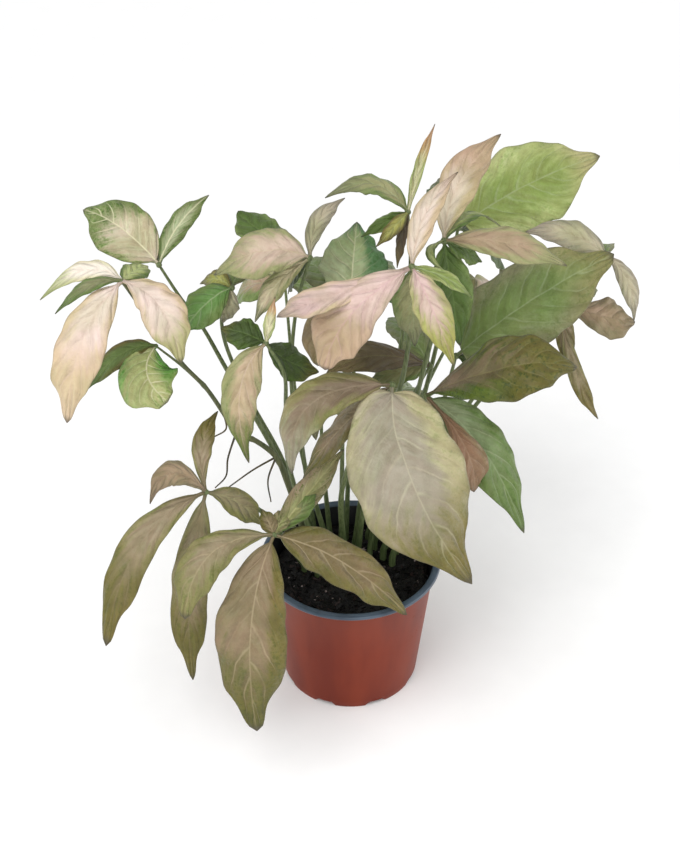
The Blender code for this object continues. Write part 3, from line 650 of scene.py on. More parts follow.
            Leaflet((440, 292, 0.170), 0.028, "clay_rose", arch=0.14),
            Leaflet((500, 316, 0.190), 0.036, "ash_green", arch=0.14),
            Leaflet((540, 330, 0.140), 0.030, "sage", arch=0.14),
        ),
    ),
    "leaf_back_low": Leaf(
        hub=(400, 392, 0.100), foot=(0.021, 0.035), route=((390, 450, 0.060),),
        leaflets=(
            Leaflet((372, 440, 0.130), 0.028, "clay", arch=0.14),
            Leaflet((408, 430, 0.170), 0.034, "sage", arch=0.14),
            Leaflet((446, 450, 0.130), 0.026, "clay_olive", arch=0.14),
        ),
    ),
    "leaf_back_low_left": Leaf(
        hub=(322, 402, 0.092), foot=(-0.014, 0.034), route=((322, 450, 0.056),),
        leaflets=(
            Leaflet((298, 442, 0.112), 0.024, "dusk", arch=0.14),
            Leaflet((316, 440, 0.160), 0.032, "clay", arch=0.14),
            Leaflet((350, 444, 0.140), 0.024, "sage", arch=0.14),
        ),
    ),
}

# %% The climbing stem on the left, which carries two leaves and four aerial roots
STEM_FOOT = (-0.027, 0.011)
STEM_ROUTE = (
    (300, 520, 0.000),
    (287, 482, -0.004),
    (276, 457, -0.008),
    (256, 441, -0.010),
    (236, 433, -0.012),
    (224, 414, -0.012),
    (206, 388, -0.012),
    (181, 362, -0.014),
    (150, 320, -0.016),
)
STEM_THICKNESS = 0.0042
STEM_LEAVES = (
    Leaf(
        hub=(122, 281, -0.016), foot=None, route=(),
        leaflets=(
            Leaflet((40, 300, -0.010), 0.013, "blush_cream", via=(84, 270, -0.010), belly=0.45),
            Leaflet((55, 314, -0.018), 0.009, "reed", via=(88, 286, -0.020), belly=0.5),
            Leaflet((67, 423, -0.050), 0.031, "blush", via=(82, 341, -0.040), belly=0.54, full=0.8),
            Leaflet(
                (181, 363, -0.046), 0.027, "blush_green",
                via=(160, 307, -0.034), belly=0.56, full=0.85,
            ),
            Leaflet((148, 266, 0.014), 0.016, "young", arch=0.08),
        ),
        thickness=0.0021,
    ),
    Leaf(
        hub=(156, 346, 0.004), foot=None, route=((206, 388, -0.012), (182, 366, -0.004)),
        leaflets=(
            Leaflet((81, 395, -0.004), 0.015, "ivy", via=(120, 355, 0.000), belly=0.5),
            Leaflet(
                (168, 402, -0.024), 0.038, "marbled_green",
                via=(147, 374, -0.012), belly=0.62, full=0.5, wave=0.04,
            ),
        ),
        thickness=0.0020,
    ),
)
AERIAL_ROOTS = (
    ((224, 414, -0.012), (226, 429, -0.016), (214, 437, -0.020)),
    ((236, 433, -0.012), (228, 458, -0.020), (226, 476, -0.024), (215, 488, -0.028)),
    ((276, 457, -0.008), (253, 470, -0.016), (229, 487, -0.022)),
    ((276, 457, -0.008), (268, 480, -0.012), (271, 502, -0.018)),
)
ROOT_THICKNESS = 0.0014
print(len(LEAVES), "leaves from the peat and", len(STEM_LEAVES), "on the climbing stem")

# %% [markdown]
# ## Blades
#
# A real blade is a thin skin: about half a millimetre at the midrib and half of that at the margin. It
# arches from the hub to a drawn-out tip, folds a little along the midrib, waves at the margin and puckers
# between its side veins. A grid of points that follows those rules, once for the upper face and once for
# the lower one, is quick to make and keeps the form of the solid. Sculpting each by hand would drift.

# %% The outline and the midrib of a blade
LIGHT = Vector((0.0, -0.5, 0.87)).normalized()  # the way that blades face unless they roll
STALK, STALK_SHARE = 0.0011, 0.05  # half the width of a blade's own stalk, and its share of the length
ROUND_BASE, ROUND_TIP = 0.72, 0.86  # below 1 the outline is fuller than a sine
TIP_START, TIP_HOLLOW = 0.80, 0.30  # from where the tip is drawn out, and by how much
CREST = 0.45  # where along the chord an arch is highest, unless its middle is given
LEAST = 0.0002  # what is left of the width at a tip or at the end of a hub


def outline(leaflet, t):
    """Half the blade's width at t, from 0 at the base to 1 at the tip."""
    if t <= STALK_SHARE:
        return STALK
    u = (t - STALK_SHARE) / (1 - STALK_SHARE)
    bulge = sin(pi * min(u ** (log(0.5) / log(leaflet.belly)), 1.0))
    power = leaflet.full * (ROUND_BASE if u < leaflet.belly else ROUND_TIP)
    drawn_out = 1.0
    if t > TIP_START:
        drawn_out = 1 - TIP_HOLLOW * max(sin(pi * (t - TIP_START) / (1 - TIP_START)), 0)
    return max(leaflet.width / 2 * max(bulge, 0.0) ** power * drawn_out, STALK * (1 - u) + LEAST)


class Station(NamedTuple):
    """The middle of the blade at one place along it, and its three directions."""

    centre: Vector
    along: Vector
    side: Vector
    up: Vector
    half: float
    t: float


def stations(leaflet, base, count):
    """Places along the midrib, a smooth arch (a quadratic curve) from the hub to the tip."""
    tip = seen(*leaflet.tip)
    chord = tip - base
    along = chord.normalized()
    facing = (LIGHT - along * LIGHT.dot(along)).normalized()
    facing = Matrix.Rotation(radians(leaflet.roll), 3, along) @ facing
    if leaflet.via:
        control = seen(*leaflet.via) * 2 - (base + tip) / 2
    else:
        control = base + chord * CREST + facing * (leaflet.arch * 2 * chord.length)
    made = []
    for index in range(count + 1):
        t = index / count
        centre = base * (1 - t) ** 2 + control * (2 * t * (1 - t)) + tip * t * t
        along = ((control - base) * (1 - t) + (tip - control) * t).normalized()
        up = (facing - along * facing.dot(along)).normalized()
        made.append(Station(centre, along, along.cross(up), up, outline(leaflet, t), t))
    return made


print("a blade's tip narrows from", TIP_START, "of its length")

# %% [markdown]
# ## The surface across a blade
#
# Side veins leave the midrib and sweep towards the tip. `rib_number` counts them along the blade, so the
# mesh can pucker between them and the material can draw them in the same places. The two halves of a leaf
# don't match, so the count starts at a different place on each side.
#
# The heights below are shares of the blade's half width. Noise makes no two blades alike: each reads it at
# a place that follows from where its own tip is.

# %% Ribs, puckers and waves
FEWEST_RIBS, RIBS_TO_A_METRE = 4, 45  # side veins on a half: some, and more with the blade's width
RIB_SWEEP, RIB_BEND = 0.30, 1.25  # how far a side vein sweeps to the tip, and how much it bends
PUCKER = 0.075  # the swelling between two side veins
RUMPLE = 0.22  # broad bends of the whole blade
RUFFLE = 0.05  # short waves at the margin
UNEVEN = 0.13  # how much the outline wanders
WAVES, RUFFLES = 2.2, 6.3  # how many along a blade


def rib_count(leaflet):
    """More side veins on a wide blade."""
    return FEWEST_RIBS + round(leaflet.width * RIBS_TO_A_METRE)


def rib_number(leaflet, t, s, right):
    """How many side veins lie between the base and this place, counted along the blade."""
    start = 0.5 if right else 0.0
    return (t - RIB_SWEEP * abs(s) ** RIB_BEND) * rib_count(leaflet) + start


def surface(leaflet, station, s):
    """A point of the blade's middle layer: s runs from -1 at one margin to 1 at the other."""
    t, half = station.t, station.half
    right = s > 0
    own = leaflet.tip[0] * 0.37
    phase = own + leaflet.tip[1] * 0.11 + (1.9 if right else 0.0)
    ragged = min(leaflet.wave * 10, 1)
    half *= 1 + UNEVEN * ragged * noise.noise(Vector((t * 9, phase, 0.5)))
    rise = leaflet.fold * abs(s) - leaflet.dome * s * s
    rise += leaflet.wave * s * s * sin(WAVES * tau * t + phase)
    rise += RUFFLE * ragged * s**4 * sin(RUFFLES * tau * t + 2 * phase)
    swell = sin(pi * rib_number(leaflet, t, s, right)) ** 2
    fade = 0.6 + noise.noise(Vector((t * 5, s * 2, phase)))
    rise += PUCKER * fade * swell * 4 * abs(s) * (1 - abs(s)) * (1 - t)
    rise += RUMPLE * noise.noise(Vector((t * 6, s * 1.7, own))) * min(t * 6, 1) * (1 - t)
    back = leaflet.lobes * min(leaflet.width, half * 5) * s * s * (1 - t) ** 3
    return station.centre + station.side * (half * s) + station.up * (half * rise) - station.along * back


print("ribs on a wide blade:", rib_count(LEAVES["leaf_front_big"].leaflets[0]), "a side")

# %% [markdown]
# ## Collecting a leaf
#
# A leaf is a few blades and one petiole. They go into one list of points and faces, with what the material
# needs stored on the points: the four paints of the skin and how far each reaches. The petiole goes in as a
# bare line of edges with its thickness, because a node tree turns such lines into round stalks.

# %% A leaf in the making


class Growth:
    """Points, faces and lines of one leaf, with the values that the materials read."""

    NUMBERS = ("stalk", "thickness", "woody", "under", "reach", "turn", "veins", "flecks", "lean")
    COLOURS = ("centre", "margin", "vein", "tip")

    def __init__(self):
        self.points, self.edges, self.faces = [], [], []
        self.maps = {"blade": [], "ribs": [], "size": []}
        self.numbers = {name: [] for name in self.NUMBERS}
        self.colours = {name: [] for name in self.COLOURS}

    def note(self, count, skin=None, **values):
        """Stores the values for the last count points: 0 and black where they have none."""
        for name in self.NUMBERS:
            value = values.get(name, getattr(skin, name, 0.0) if skin else 0.0)
            self.numbers[name] += value if isinstance(value, list) else [value] * count
        for name in self.COLOURS:
            self.colours[name] += linear(PAINTS[getattr(skin, name)] if skin else (0, 0, 0)) * count

    def line(self, places, thickness, woody=0.0):
        """A stalk to be: points joined by edges."""
        first = len(self.points)
        self.points += places
        self.edges += [(first + i, first + i + 1) for i in range(len(places) - 1)]
        self.note(len(places), stalk=1.0, thickness=thickness, woody=woody)

    def corner(self, face, notes):
        """A face with its places in the three maps: shares of the blade, ribs, and centimetres."""
        self.faces.append(face)
        for t, s, rib, run, offset in notes:
            self.maps["blade"] += (t, 0.5 + s / 2)
            self.maps["ribs"] += (rib, abs(s))
            self.maps["size"] += (run, offset)

    def mesh(self, name):
        """Turns the lists into a mesh with its maps and attributes."""
        mesh = bpy.data.meshes.new(name)
        mesh.from_pydata(self.points, self.edges, self.faces)
        for label, values in self.maps.items():
            mesh.uv_layers.new(name=label).data.foreach_set("uv", values)
        for label, values in self.numbers.items():
            mesh.attributes.new(label, "FLOAT", "POINT").data.foreach_set("value", values)
        for label, values in self.colours.items():
            mesh.attributes.new(label, "FLOAT_COLOR", "POINT").data.foreach_set("color", values)
        return mesh


print("each point of a leaf keeps", len(Growth.NUMBERS) + len(Growth.COLOURS), "values")

# %% One blade
WIDE_BLADE = 0.018
WIDE_STEPS, NARROW_STEPS = 42, 26
WIDE_SPREAD = (0, 0.04, 0.11, 0.20, 0.31, 0.43, 0.55, 0.67, 0.79, 0.89, 0.96, 1)  # from midrib to margin
NARROW_SPREAD = (0, 0.08, 0.22, 0.40, 0.60, 0.80, 0.94, 1)
THICK_MIDDLE, THICK_MARGIN, THICK_STALK = 0.00050, 0.00024, 0.0018
MIDRIB_WIDTH, GROOVE, RIDGE = 0.0014, 0.00022, 0.00070
MIDRIB_TAPER = 0.8  # how much of the midrib is lost on the way to the tip
STALK_END = 0.12  # the share of the length over which the blade thickens into its stalk


def add_blade(growth, leaflet, base):
    """Two faces and a rim: the upper face has a groove over the midrib, the lower one a ridge under it."""
    wide = leaflet.width > WIDE_BLADE
    spread = WIDE_SPREAD if wide else NARROW_SPREAD
    across = [-s for s in reversed(spread[1:])] + list(spread)
    places = stations(leaflet, base, WIDE_STEPS if wide else NARROW_STEPS)
    columns, rows = len(across), len(places)
    first = len(growth.points)
    for lift in (0.5, -0.5):
        for station in places:
            root = max(1 - station.t / STALK_END, 0.0) ** 2
            for s in across:
                thick = THICK_MIDDLE + (THICK_MARGIN - THICK_MIDDLE) * s * s + THICK_STALK * root
                rib = max(1 - abs(s) * station.half / MIDRIB_WIDTH, 0.0) * (1 - MIDRIB_TAPER * station.t)
                dip = (GROOVE if lift > 0 else RIDGE) * rib * (1 - root)
                place = surface(leaflet, station, s)
                growth.points.append(place + station.up * (thick * lift - dip))
    skin = SKINS[leaflet.skin]
    growth.note(rows * columns, skin)
    growth.note(rows * columns, skin, under=1.0)

    length = 100 * (places[-1].centre - places[0].centre).length

    def notes(cells, right):
        made = []
        for i, j in cells:
            t, s = places[i].t, across[j]
            made.append((t, s, rib_number(leaflet, t, s, right), t * length, 100 * s * places[i].half))
        return made

    def index(i, j, face):
        return first + face * rows * columns + i * columns + j

    for i in range(rows - 1):
        for j in range(columns - 1):
            cells = ((i, j), (i, j + 1), (i + 1, j + 1), (i + 1, j))
            right = j >= (columns - 1) // 2
            growth.corner([index(*cell, 0) for cell in cells], notes(cells, right))
            cells = cells[::-1]
            growth.corner([index(*cell, 1) for cell in cells], notes(cells, right))
    rim = [(0, j) for j in range(columns - 1)] + [(i, columns - 1) for i in range(rows - 1)]
    rim += [(rows - 1, j) for j in range(columns - 1, 0, -1)] + [(i, 0) for i in range(rows - 1, 0, -1)]
    for here, there in zip(rim, rim[1:] + rim[:1]):
        corners = (index(*here, 1), index(*there, 1), index(*there, 0), index(*here, 0))
        right = here[1] + there[1] > columns - 1
        growth.corner(corners, notes((here, there, there, here), right))


print("a wide blade has", 2 * WIDE_STEPS * 2 * (len(WIDE_SPREAD) - 1) * 2, "triangles and its rim")

# %% [markdown]
# ## Petioles and stems
#
# A petiole is a smooth curve through a few places: thick where it leaves the peat, thinner below the hub,
# and slightly swollen at the hub itself. The climbing stem is the same, with a swollen ring at each place
# where a leaf or an aerial root once started.

# %% Smooth lines with a thickness
POT_HEIGHT, SOIL_BELOW_RIM, STEM_DEPTH = 0.095, 0.014, 0.016
SOIL_TOP = POT_HEIGHT - SOIL_BELOW_RIM
STRAIGHT_FOOT = 0.006  # how far a stem rises straight out of the peat
PETIOLE_FOOT, PETIOLE_TOP = 1.4, 0.68  # its thickness at either end, as a share of the leaf's own value
HUB_RADIUS, HUB_STEPS = 0.74, 8
RING, FLARE = 0.22, 0.14  # how much a stem swells at its nodes and at its foot


def smooth_line(points, steps):
    """Points read from one smooth curve (Catmull-Rom) through the given points, steps to a span."""
    ends = [points[0] * 2 - points[1], *points, points[-1] * 2 - points[-2]]
    line = [points[0]]
    for a, b, c, d in zip(ends, ends[1:], ends[2:], ends[3:]):
        for step in range(1, steps + 1):
            t = step / steps
            slope = (c - a) * t
            bend = (a * 2 - b * 5 + c * 4 - d) * t**2
            turn = (b * 3 - a - c * 3 + d) * t**3
            line.append((b * 2 + slope + bend + turn) / 2)
    return line


def stem_line(foot, places, steps):
    """From the bottom of its hole, straight up out of the soil, and on through the places."""
    bottom = Vector((*foot, SOIL_TOP - STEM_DEPTH))
    out = Vector((*foot, SOIL_TOP + STRAIGHT_FOOT))
    return [bottom, *smooth_line([out, *(seen(*place) for place in places)], steps)]


def add_hub(growth, leaf, along):
    """A small rounded knuckle where the leaflets start."""
    hub, radius = seen(*leaf.hub), leaf.thickness * HUB_RADIUS
    turns = [pi * i / HUB_STEPS for i in range(HUB_STEPS + 1)]
    places = [hub + along * (radius * -cos(turn)) for turn in turns]
    growth.line(places, [max(2 * radius * sin(turn), LEAST) for turn in turns])


def add_stalk(growth, line, thick, thin, woody=0.0, nodes=0):
    """A tapered line, swollen at evenly spaced nodes if it has any."""
    count = len(line) - 1
    widths = []
    for i in range(count + 1):
        share = i / count
        ring = RING * max(cos(tau * share * nodes), 0.0) ** 12 if nodes else 0.0
        flare = FLARE * max(1 - share * 7, 0.0)
        widths.append((thick + (thin - thick) * share) * (1 + ring + flare))
    growth.line(line, widths, woody)


print("the peat's surface is", round(SOIL_TOP * 1000), "mm up")

# %% [markdown]
# ## A node tree for round stalks
#
# Every petiole, stem and aerial root follows a path, and Geometry Nodes are made for that: the lines become
# curves, a circle runs along each of them, scaled by the thickness stored on the line, and the result joins
# the blades. One tree serves all the leaves. `Sides` says how round the stalks are.

# %% The stalk tree
STALK_SIDES = 10


def new_tree(name, numbers):
    """A geometry node tree with the given number inputs. Returns it with wires to its inputs."""
    tree = bpy.data.node_groups.new(name, "GeometryNodeTree")
    tree.interface.new_socket("Geometry", in_out="INPUT", socket_type="NodeSocketGeometry")
    for label, (kind, value) in numbers.items():
        socket = tree.interface.new_socket(label, in_out="INPUT", socket_type=kind)
        socket.default_value = value
    tree.interface.new_socket("Geometry", in_out="OUTPUT", socket_type="NodeSocketGeometry")
    return tree, Wire(tree).node("NodeGroupInput")


def named(wire, name):
    """The number stored under this name."""
    return wire.node("GeometryNodeInputNamedAttribute", {"data_type": "FLOAT"}, {"Name": name})


def stalk_tree(stalk, skin):
    """Turns the lines of a leaf into stalks, keeps its blades, and gives each its material."""
    tree, given = new_tree("round_stalks", {"Sides": ("NodeSocketInt", STALK_SIDES)})
    is_stalk = given.math("GREATER_THAN", named(given, "stalk"), 0.5)
    chosen = {"Geometry": given, "Selection": is_stalk}
    parts = given.node("GeometryNodeSeparateGeometry", {"domain": "POINT"}, chosen)
    curves = given.node("GeometryNodeMeshToCurve", {}, {"Mesh": parts})
    profile = {"Resolution": given.out("Sides"), "Radius": 0.5}
    circle = given.node("GeometryNodeCurvePrimitiveCircle", {}, profile)
    scale = named(given, "thickness")
    run = {"Curve": curves, "Profile Curve": circle, "Scale": scale, "Fill Caps": True}
    rods = given.node("GeometryNodeCurveToMesh", {}, run)
    whole = given.node("GeometryNodeJoinGeometry")
    for piece in (parts.out("Inverted"), rods):
        tree.links.new(piece.socket, whole.socket.node.inputs["Geometry"])
    solid = given.node("GeometryNodeRealizeInstances", {}, {"Geometry": whole})
    smooth = given.node("GeometryNodeSetShadeSmooth", {}, {"Geometry": solid})
    painted = given.node("GeometryNodeSetMaterial", {}, {"Geometry": smooth, "Material": skin})
    chosen = {"Geometry": painted, "Selection": is_stalk, "Material": stalk}
    painted = given.node("GeometryNodeSetMaterial", {}, chosen)
    given.node("NodeGroupOutput", {}, {"Geometry": painted})
    return tree


def grown(obj, tree, values):
    """Runs the tree on the object with these values and leaves a plain mesh."""
    modifier = obj.modifiers.new(tree.name, "NODES")
    modifier.node_group = tree
    for item in tree.interface.items_tree:
        if item.item_type == "SOCKET" and item.in_out == "INPUT" and item.name in values:
            modifier[item.identifier] = values[item.name]
    graph = bpy.context.evaluated_depsgraph_get()
    whole = obj.evaluated_get(graph)
    mesh = bpy.data.meshes.new_from_object(whole, preserve_all_data_layers=True, depsgraph=graph)
    obj.modifiers.clear()
    obj.data = mesh
    return obj


def placed(name, mesh):
    """A new object at the origin."""
    made = bpy.data.objects.new(name, mesh)
    bpy.context.scene.collection.objects.link(made)
    return made


def dressed(piece, node):
    """Puts a finished piece in the place of a solid."""
    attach(piece, "root")
    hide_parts(node)
    return piece


print("stalks have", STALK_SIDES, "sides")

# %% [markdown]
# ## Leaf skin
#
# The skin of a blade is drawn by formula. The margin's paint takes over from the centre's past `reach`,
# and the tip's past `turn`, both along feathered lines that follow the side veins. Dark flecks lie towards
# the margin and the tip. Over that go the veins: a midrib of true width, the side ribs from the mesh's own
# count, which fade in places, and a fine net. The underside is paler and greyer.
#
# Most of this comes from noise of several sizes. The strokes between the veins are noise too, but drawn out
# along the ribs, because it is read at a place made of the rib's number and the distance from the midrib.
# All of it is read once, and the cells after this one only combine it.

# %% What the leaf skin reads
LEAF_NOISES = {
    # cells to a metre, how many finer layers lie over them, and how strong those are
    "own": (7.0, 0.0),
    "wander": (60.0, 3.0),
    "clouds": (26.0, 4.0),
    "rumples": (105.0, 3.0),
    "grain": (420.0, 4.0, 0.65),
    "fade": (55.0, 1.0),
    "pores": (1300.0, 2.0),
}


def leaf_values(wire):
    """The noises by name, and where a point is on its blade: across and along it, and on which side."""
    place = wire.place()
    at = {label: wire.noise(place, *numbers) for label, numbers in LEAF_NOISES.items()}
    ribs, blade = (wire.node("ShaderNodeUVMap", {"uv_map": label}) for label in ("ribs", "blade"))
    at["rib"], at["across"], at["along"] = ribs.part("X"), ribs.part("Y"), blade.part("X")
    at["side"] = blade.part("Y") * 2 - 1
    at["own"] = at["own"] * 14
    at["wander"] = at["wander"] - 0.5
    drawn_out = {"X": at["rib"] * 1.9, "Y": at["across"] * 1.3, "Z": at["own"]}
    at["strokes"] = wire.noise(wire.node("ShaderNodeCombineXYZ", {}, drawn_out), 1.5, 4.0, 0.6)
    return SimpleNamespace(**at)


print("noises of a leaf:", ", ".join(LEAF_NOISES))

# %% Paint of a leaf
FLECK = (0.62, 0.74, 0.38)
PATCHES = (
    # which pattern, where it starts and ends, what it multiplies the paint by
    ("strokes", 0.30, 0.70, (0.92, 0.87, 0.86)),
    ("clouds", 0.32, 0.66, (0.86, 0.92, 0.78)),
    ("rumples", 0.30, 0.62, (0.92, 0.92, 0.91)),
)
MARGIN_BORDER, TIP_BORDER = (0.26, 0.26), (0.18, 0.20)  # how far a border is soft, to either side


def leaf_paint(wire, at):
    """The paints of the centre, the margin and the tip, with flecks and patches over them."""
    feather = at.wander * 0.40 + (at.strokes - 0.5) * 0.75
    reach = wire.read("reach") - at.side * wire.read("lean")
    edge = (at.across + feather).step(reach - MARGIN_BORDER[0], reach + MARGIN_BORDER[1])
    paint = edge.mix(wire.read("centre", "Color"), wire.read("margin", "Color"))
    turn = wire.read("turn") - at.across * 0.10
    end = (at.along + feather * 0.50).step(turn - TIP_BORDER[0], turn + TIP_BORDER[1])
    paint = end.mix(paint, wire.read("tip", "Color"))

    speckle = (at.grain + (at.strokes - 0.5) * 0.55).step(0.50, 0.68)
    fleck = speckle * (0.15 + 0.85 * wire.math("MAXIMUM", edge, end)) * wire.read("flecks")
    paint = fleck.mix(paint, linear(FLECK), "MULTIPLY")
    uneven = 0.50 + 0.60 * wire.read("flecks")
    for pattern, low, high, tint in PATCHES:
        patch = (1 - getattr(at, pattern).step(low, high)) * uneven
        paint = patch.mix(paint, linear(tint), "MULTIPLY")
    return paint


print("patches of a leaf:", ", ".join(patch[0] for patch in PATCHES))

# %% Veins of a leaf
MIDRIB_FROM, MIDRIB_TO = 0.012, 0.075  # centimetres from the middle, between which the midrib's paint ends
NET_SCALE, NET_WIDTH = 3.4, 0.12  # cells to a centimetre, and the share of a cell that its border takes


def leaf_veins(wire, at):
    """How much of a vein each place is, from 0 to 1, and how near a side rib it is."""
    ridge = abs(wire.math("FRACT", at.rib + at.wander * 0.50) - 0.5) * 2
    fade = at.fade.step(0.35, 0.62)
    near = 1 - at.across.step(0.45, 0.92)
    side_ribs = ridge.step(0.76 + at.across * 0.16, 1.0) * near * (0.25 + 0.75 * fade)
    size = wire.node("ShaderNodeUVMap", {"uv_map": "size"})
    midrib = (1 - abs(size.part("Y")).step(MIDRIB_FROM, MIDRIB_TO)) * (1 - at.along * 0.55)
    flat = wire.node("ShaderNodeCombineXYZ", {}, {"X": size.part("X"), "Y": size.part("Y"), "Z": at.own})
    borders = {"feature": "DISTANCE_TO_EDGE"}
    cells = wire.node("ShaderNodeTexVoronoi", borders, {"Vector": flat, "Scale": NET_SCALE})
    net = (1 - cells.step(0.0, NET_WIDTH)) * fade
    return wire.math("MAXIMUM", midrib, wire.math("MAXIMUM", side_ribs * 0.75, net * 0.14)), ridge


print("the midrib's paint ends", 10 * MIDRIB_TO, "mm from the middle")

# %% Leaf skin material
UNDERSIDE, DRY_TIP = (0.52, 0.52, 0.38), (0.30, 0.27, 0.22)


def leaf_skin(name, gloss):
    """The material of a blade, which reads its paints from the mesh."""
    material, wire, shader = new_material(name)
    at = leaf_values(wire)
    veins, ridge = leaf_veins(wire, at)
    paint = (veins * wire.read("veins")).mix(leaf_paint(wire, at), wire.read("vein", "Color"))
    paint = (at.across.step(0.92, 1.0) * 0.30).mix(paint, linear(DRY_TIP))
    paint = (at.along.step(0.95, 0.995) * 0.70).mix(paint, linear(DRY_TIP))
    paint = (wire.read("under") * 0.55).mix(paint, linear(UNDERSIDE))
    plug(paint, shader["Base Color"])
    plug(gloss + 0.16 * at.grain - 0.05 * veins, shader["Roughness"])
    quilt = 1 - ridge * ridge
    height = at.pores * 0.12 + quilt * 0.8 + at.strokes * 0.8 + at.rumples * 2.2
    plug(bumped(wire, height, 0.80, 0.0016), shader["Normal"])
    shader["Specular IOR Level"].default_value = 0.40
    shader["Sheen Weight"].default_value = 0.06
    return material


skins = {
    "leaf_pink": leaf_skin("satin_pink_leaf", 0.42),
    "leaf_olive": leaf_skin("satin_olive_leaf", 0.44),
    "leaf_green": leaf_skin("satin_green_leaf", 0.40),
}
print("leaf skins:", ", ".join(skins))

# %% [markdown]
# ## Stalk finish
#
# Petioles are smooth and green with fine streaks along them, and darker near the peat. The climbing stem is
# a duller green-brown, and the aerial roots are brown and rough. The `woody` value stored on each line says
# which it is, so one material serves them all.

# %% Stalk material
GREEN_DARK, GREEN_LIGHT, GREEN_LOW = (0.31, 0.36, 0.21), (0.43, 0.47, 0.31), (0.22, 0.30, 0.16)
BARK_DARK, BARK_LIGHT = (0.22, 0.21, 0.15), (0.36, 0.32, 0.23)
LOW_FROM, LOW_TO = 0.10, 0.17  # heights in metres, between which the darker green ends


def stalk_finish():
    """Green streaked stalk, brown where the line is woody."""
    material, wire, shader = new_material("green_stalk")
    place, woody = wire.place(), wire.read("woody")
    streaks = wire.noise(place.stretched((1.0, 1.0, 0.12)), 900.0, 3.0)
    patches = wire.noise(place, 90.0, 3.0)
    paint = streaks.step(0.35, 0.65).mix(linear(GREEN_DARK), linear(GREEN_LIGHT))
    low = 1 - (place.part("Z") + patches * 0.02).step(LOW_FROM, LOW_TO)
    paint = (low * 0.5).mix(paint, linear(GREEN_LOW))
    bark = patches.step(0.35, 0.65).mix(linear(BARK_DARK), linear(BARK_LIGHT))
    paint = woody.mix(paint, bark)
    plug(paint, shader["Base Color"])
    plug(0.42 + 0.15 * patches + 0.2 * woody, shader["Roughness"])
    plug(bumped(wire, streaks + patches * woody, 0.30, 0.0004), shader["Normal"])
    shader["Specular IOR Level"].default_value = 0.35
    return material


stalk_material = stalk_finish()
trees = {slot: stalk_tree(stalk_material, skin) for slot, skin in skins.items()}
print("stalk finish:", stalk_material.name)

# %% [markdown]
# ## Growing the leaves
#
# Each leaf that rises from the peat becomes one piece: the petiole's line, the hub, and its blades, run
# through the stalk tree. It then stands for its solid. The record says which finish each one takes.

# %% Every leaf
PETIOLE_STEPS = 12
slots = {entry["node"]: entry["material_slot"] for entry in frame["record"]["subparts"]}


def add_leaf(growth, leaf, line):
    """The hub at the end of the line, and the leaflets that start there."""
    add_hub(growth, leaf, (line[-1] - line[-2]).normalized())
    for leaflet in leaf.leaflets:
        add_blade(growth, leaflet, seen(*leaf.hub))


def finished(name, growth):
    """What has grown, as one mesh in place of its solid."""
    piece = grown(placed(name + "_blades", growth.mesh(name)), trees[slots[name]], {"Sides": STALK_SIDES})
    return dressed(piece, name)


triangles = 0
for name, leaf in LEAVES.items():
    growth = Growth()
    line = stem_line(leaf.foot, (*leaf.route, leaf.hub), PETIOLE_STEPS)
    add_stalk(growth, line, leaf.thickness * PETIOLE_FOOT, leaf.thickness * PETIOLE_TOP)
    add_leaf(growth, leaf, line)
    piece = finished(name, growth)
    triangles += sum(len(face.vertices) - 2 for face in piece.data.polygons)
print(len(LEAVES), "leaves,", triangles, "triangles")

# %% [markdown]
# ## The climbing stem
#
# One plant climbs to the left. Its stem bends where old leaves grew, carries two leaves, and has a few
# thin brown aerial roots that hang from its joints.

# %% Climbing stem
STEM_STEPS, BRANCH_STEPS, STEM_NODES = 10, 8, 7
WOODY_STEM, WOODY_BRANCH = 0.45, 0.15
ROOT_END = 0.6  # a root's thickness where it ends, as a share of that where it starts

growth = Growth()
upper, lower = STEM_LEAVES
line = stem_line(STEM_FOOT, (*STEM_ROUTE, upper.hub), STEM_STEPS)
add_stalk(growth, line, STEM_THICKNESS, upper.thickness, WOODY_STEM, STEM_NODES)
branch = smooth_line([seen(*place) for place in (*lower.route, lower.hub)], BRANCH_STEPS)
add_stalk(growth, branch, lower.thickness, lower.thickness * PETIOLE_TOP, WOODY_BRANCH)
for places in AERIAL_ROOTS:
    root = smooth_line([seen(*place) for place in places], BRANCH_STEPS)
    add_stalk(growth, root, ROOT_THICKNESS, ROOT_THICKNESS * ROOT_END, woody=1.0)
add_leaf(growth, upper, line)
add_leaf(growth, lower, branch)
climber = finished("climbing_stem", growth)
print("climbing stem:", len(climber.data.polygons), "faces")

# %% [markdown]
# ## The pot
#
# A nursery pot is moulded from a thin sheet: terracotta outside, black inside, with a rolled black flange
# that is painted slate blue for the sky's reflection in it.
# It is a turned shape, so one outline and many sides make it. The drain notches at the foot are the same
# outline, lifted there. The colours change at the flange, so each part of the outline names its finish.

# %% Turning a shape
RIM_RADIUS, FOOT_RADIUS, POT_WALL, RIM_FLANGE = 0.060, 0.045, 0.0014, 0.0052
POT_FLOOR, NOTCHES, NOTCH_WIDTH, NOTCH_HEIGHT = 0.0042, 8, 0.013, 0.0025
NOTCH_SIDE = 0.0012  # the width over which a notch rises to its height
FLANGE_HEIGHT = 0.0030


def wall_radius(height):
    """The pot wall's outer radius at a height: a straight taper up to the rim's flange."""
    top = RIM_RADIUS - RIM_FLANGE + POT_WALL
    return FOOT_RADIUS + (top - FOOT_RADIUS) * height / POT_HEIGHT


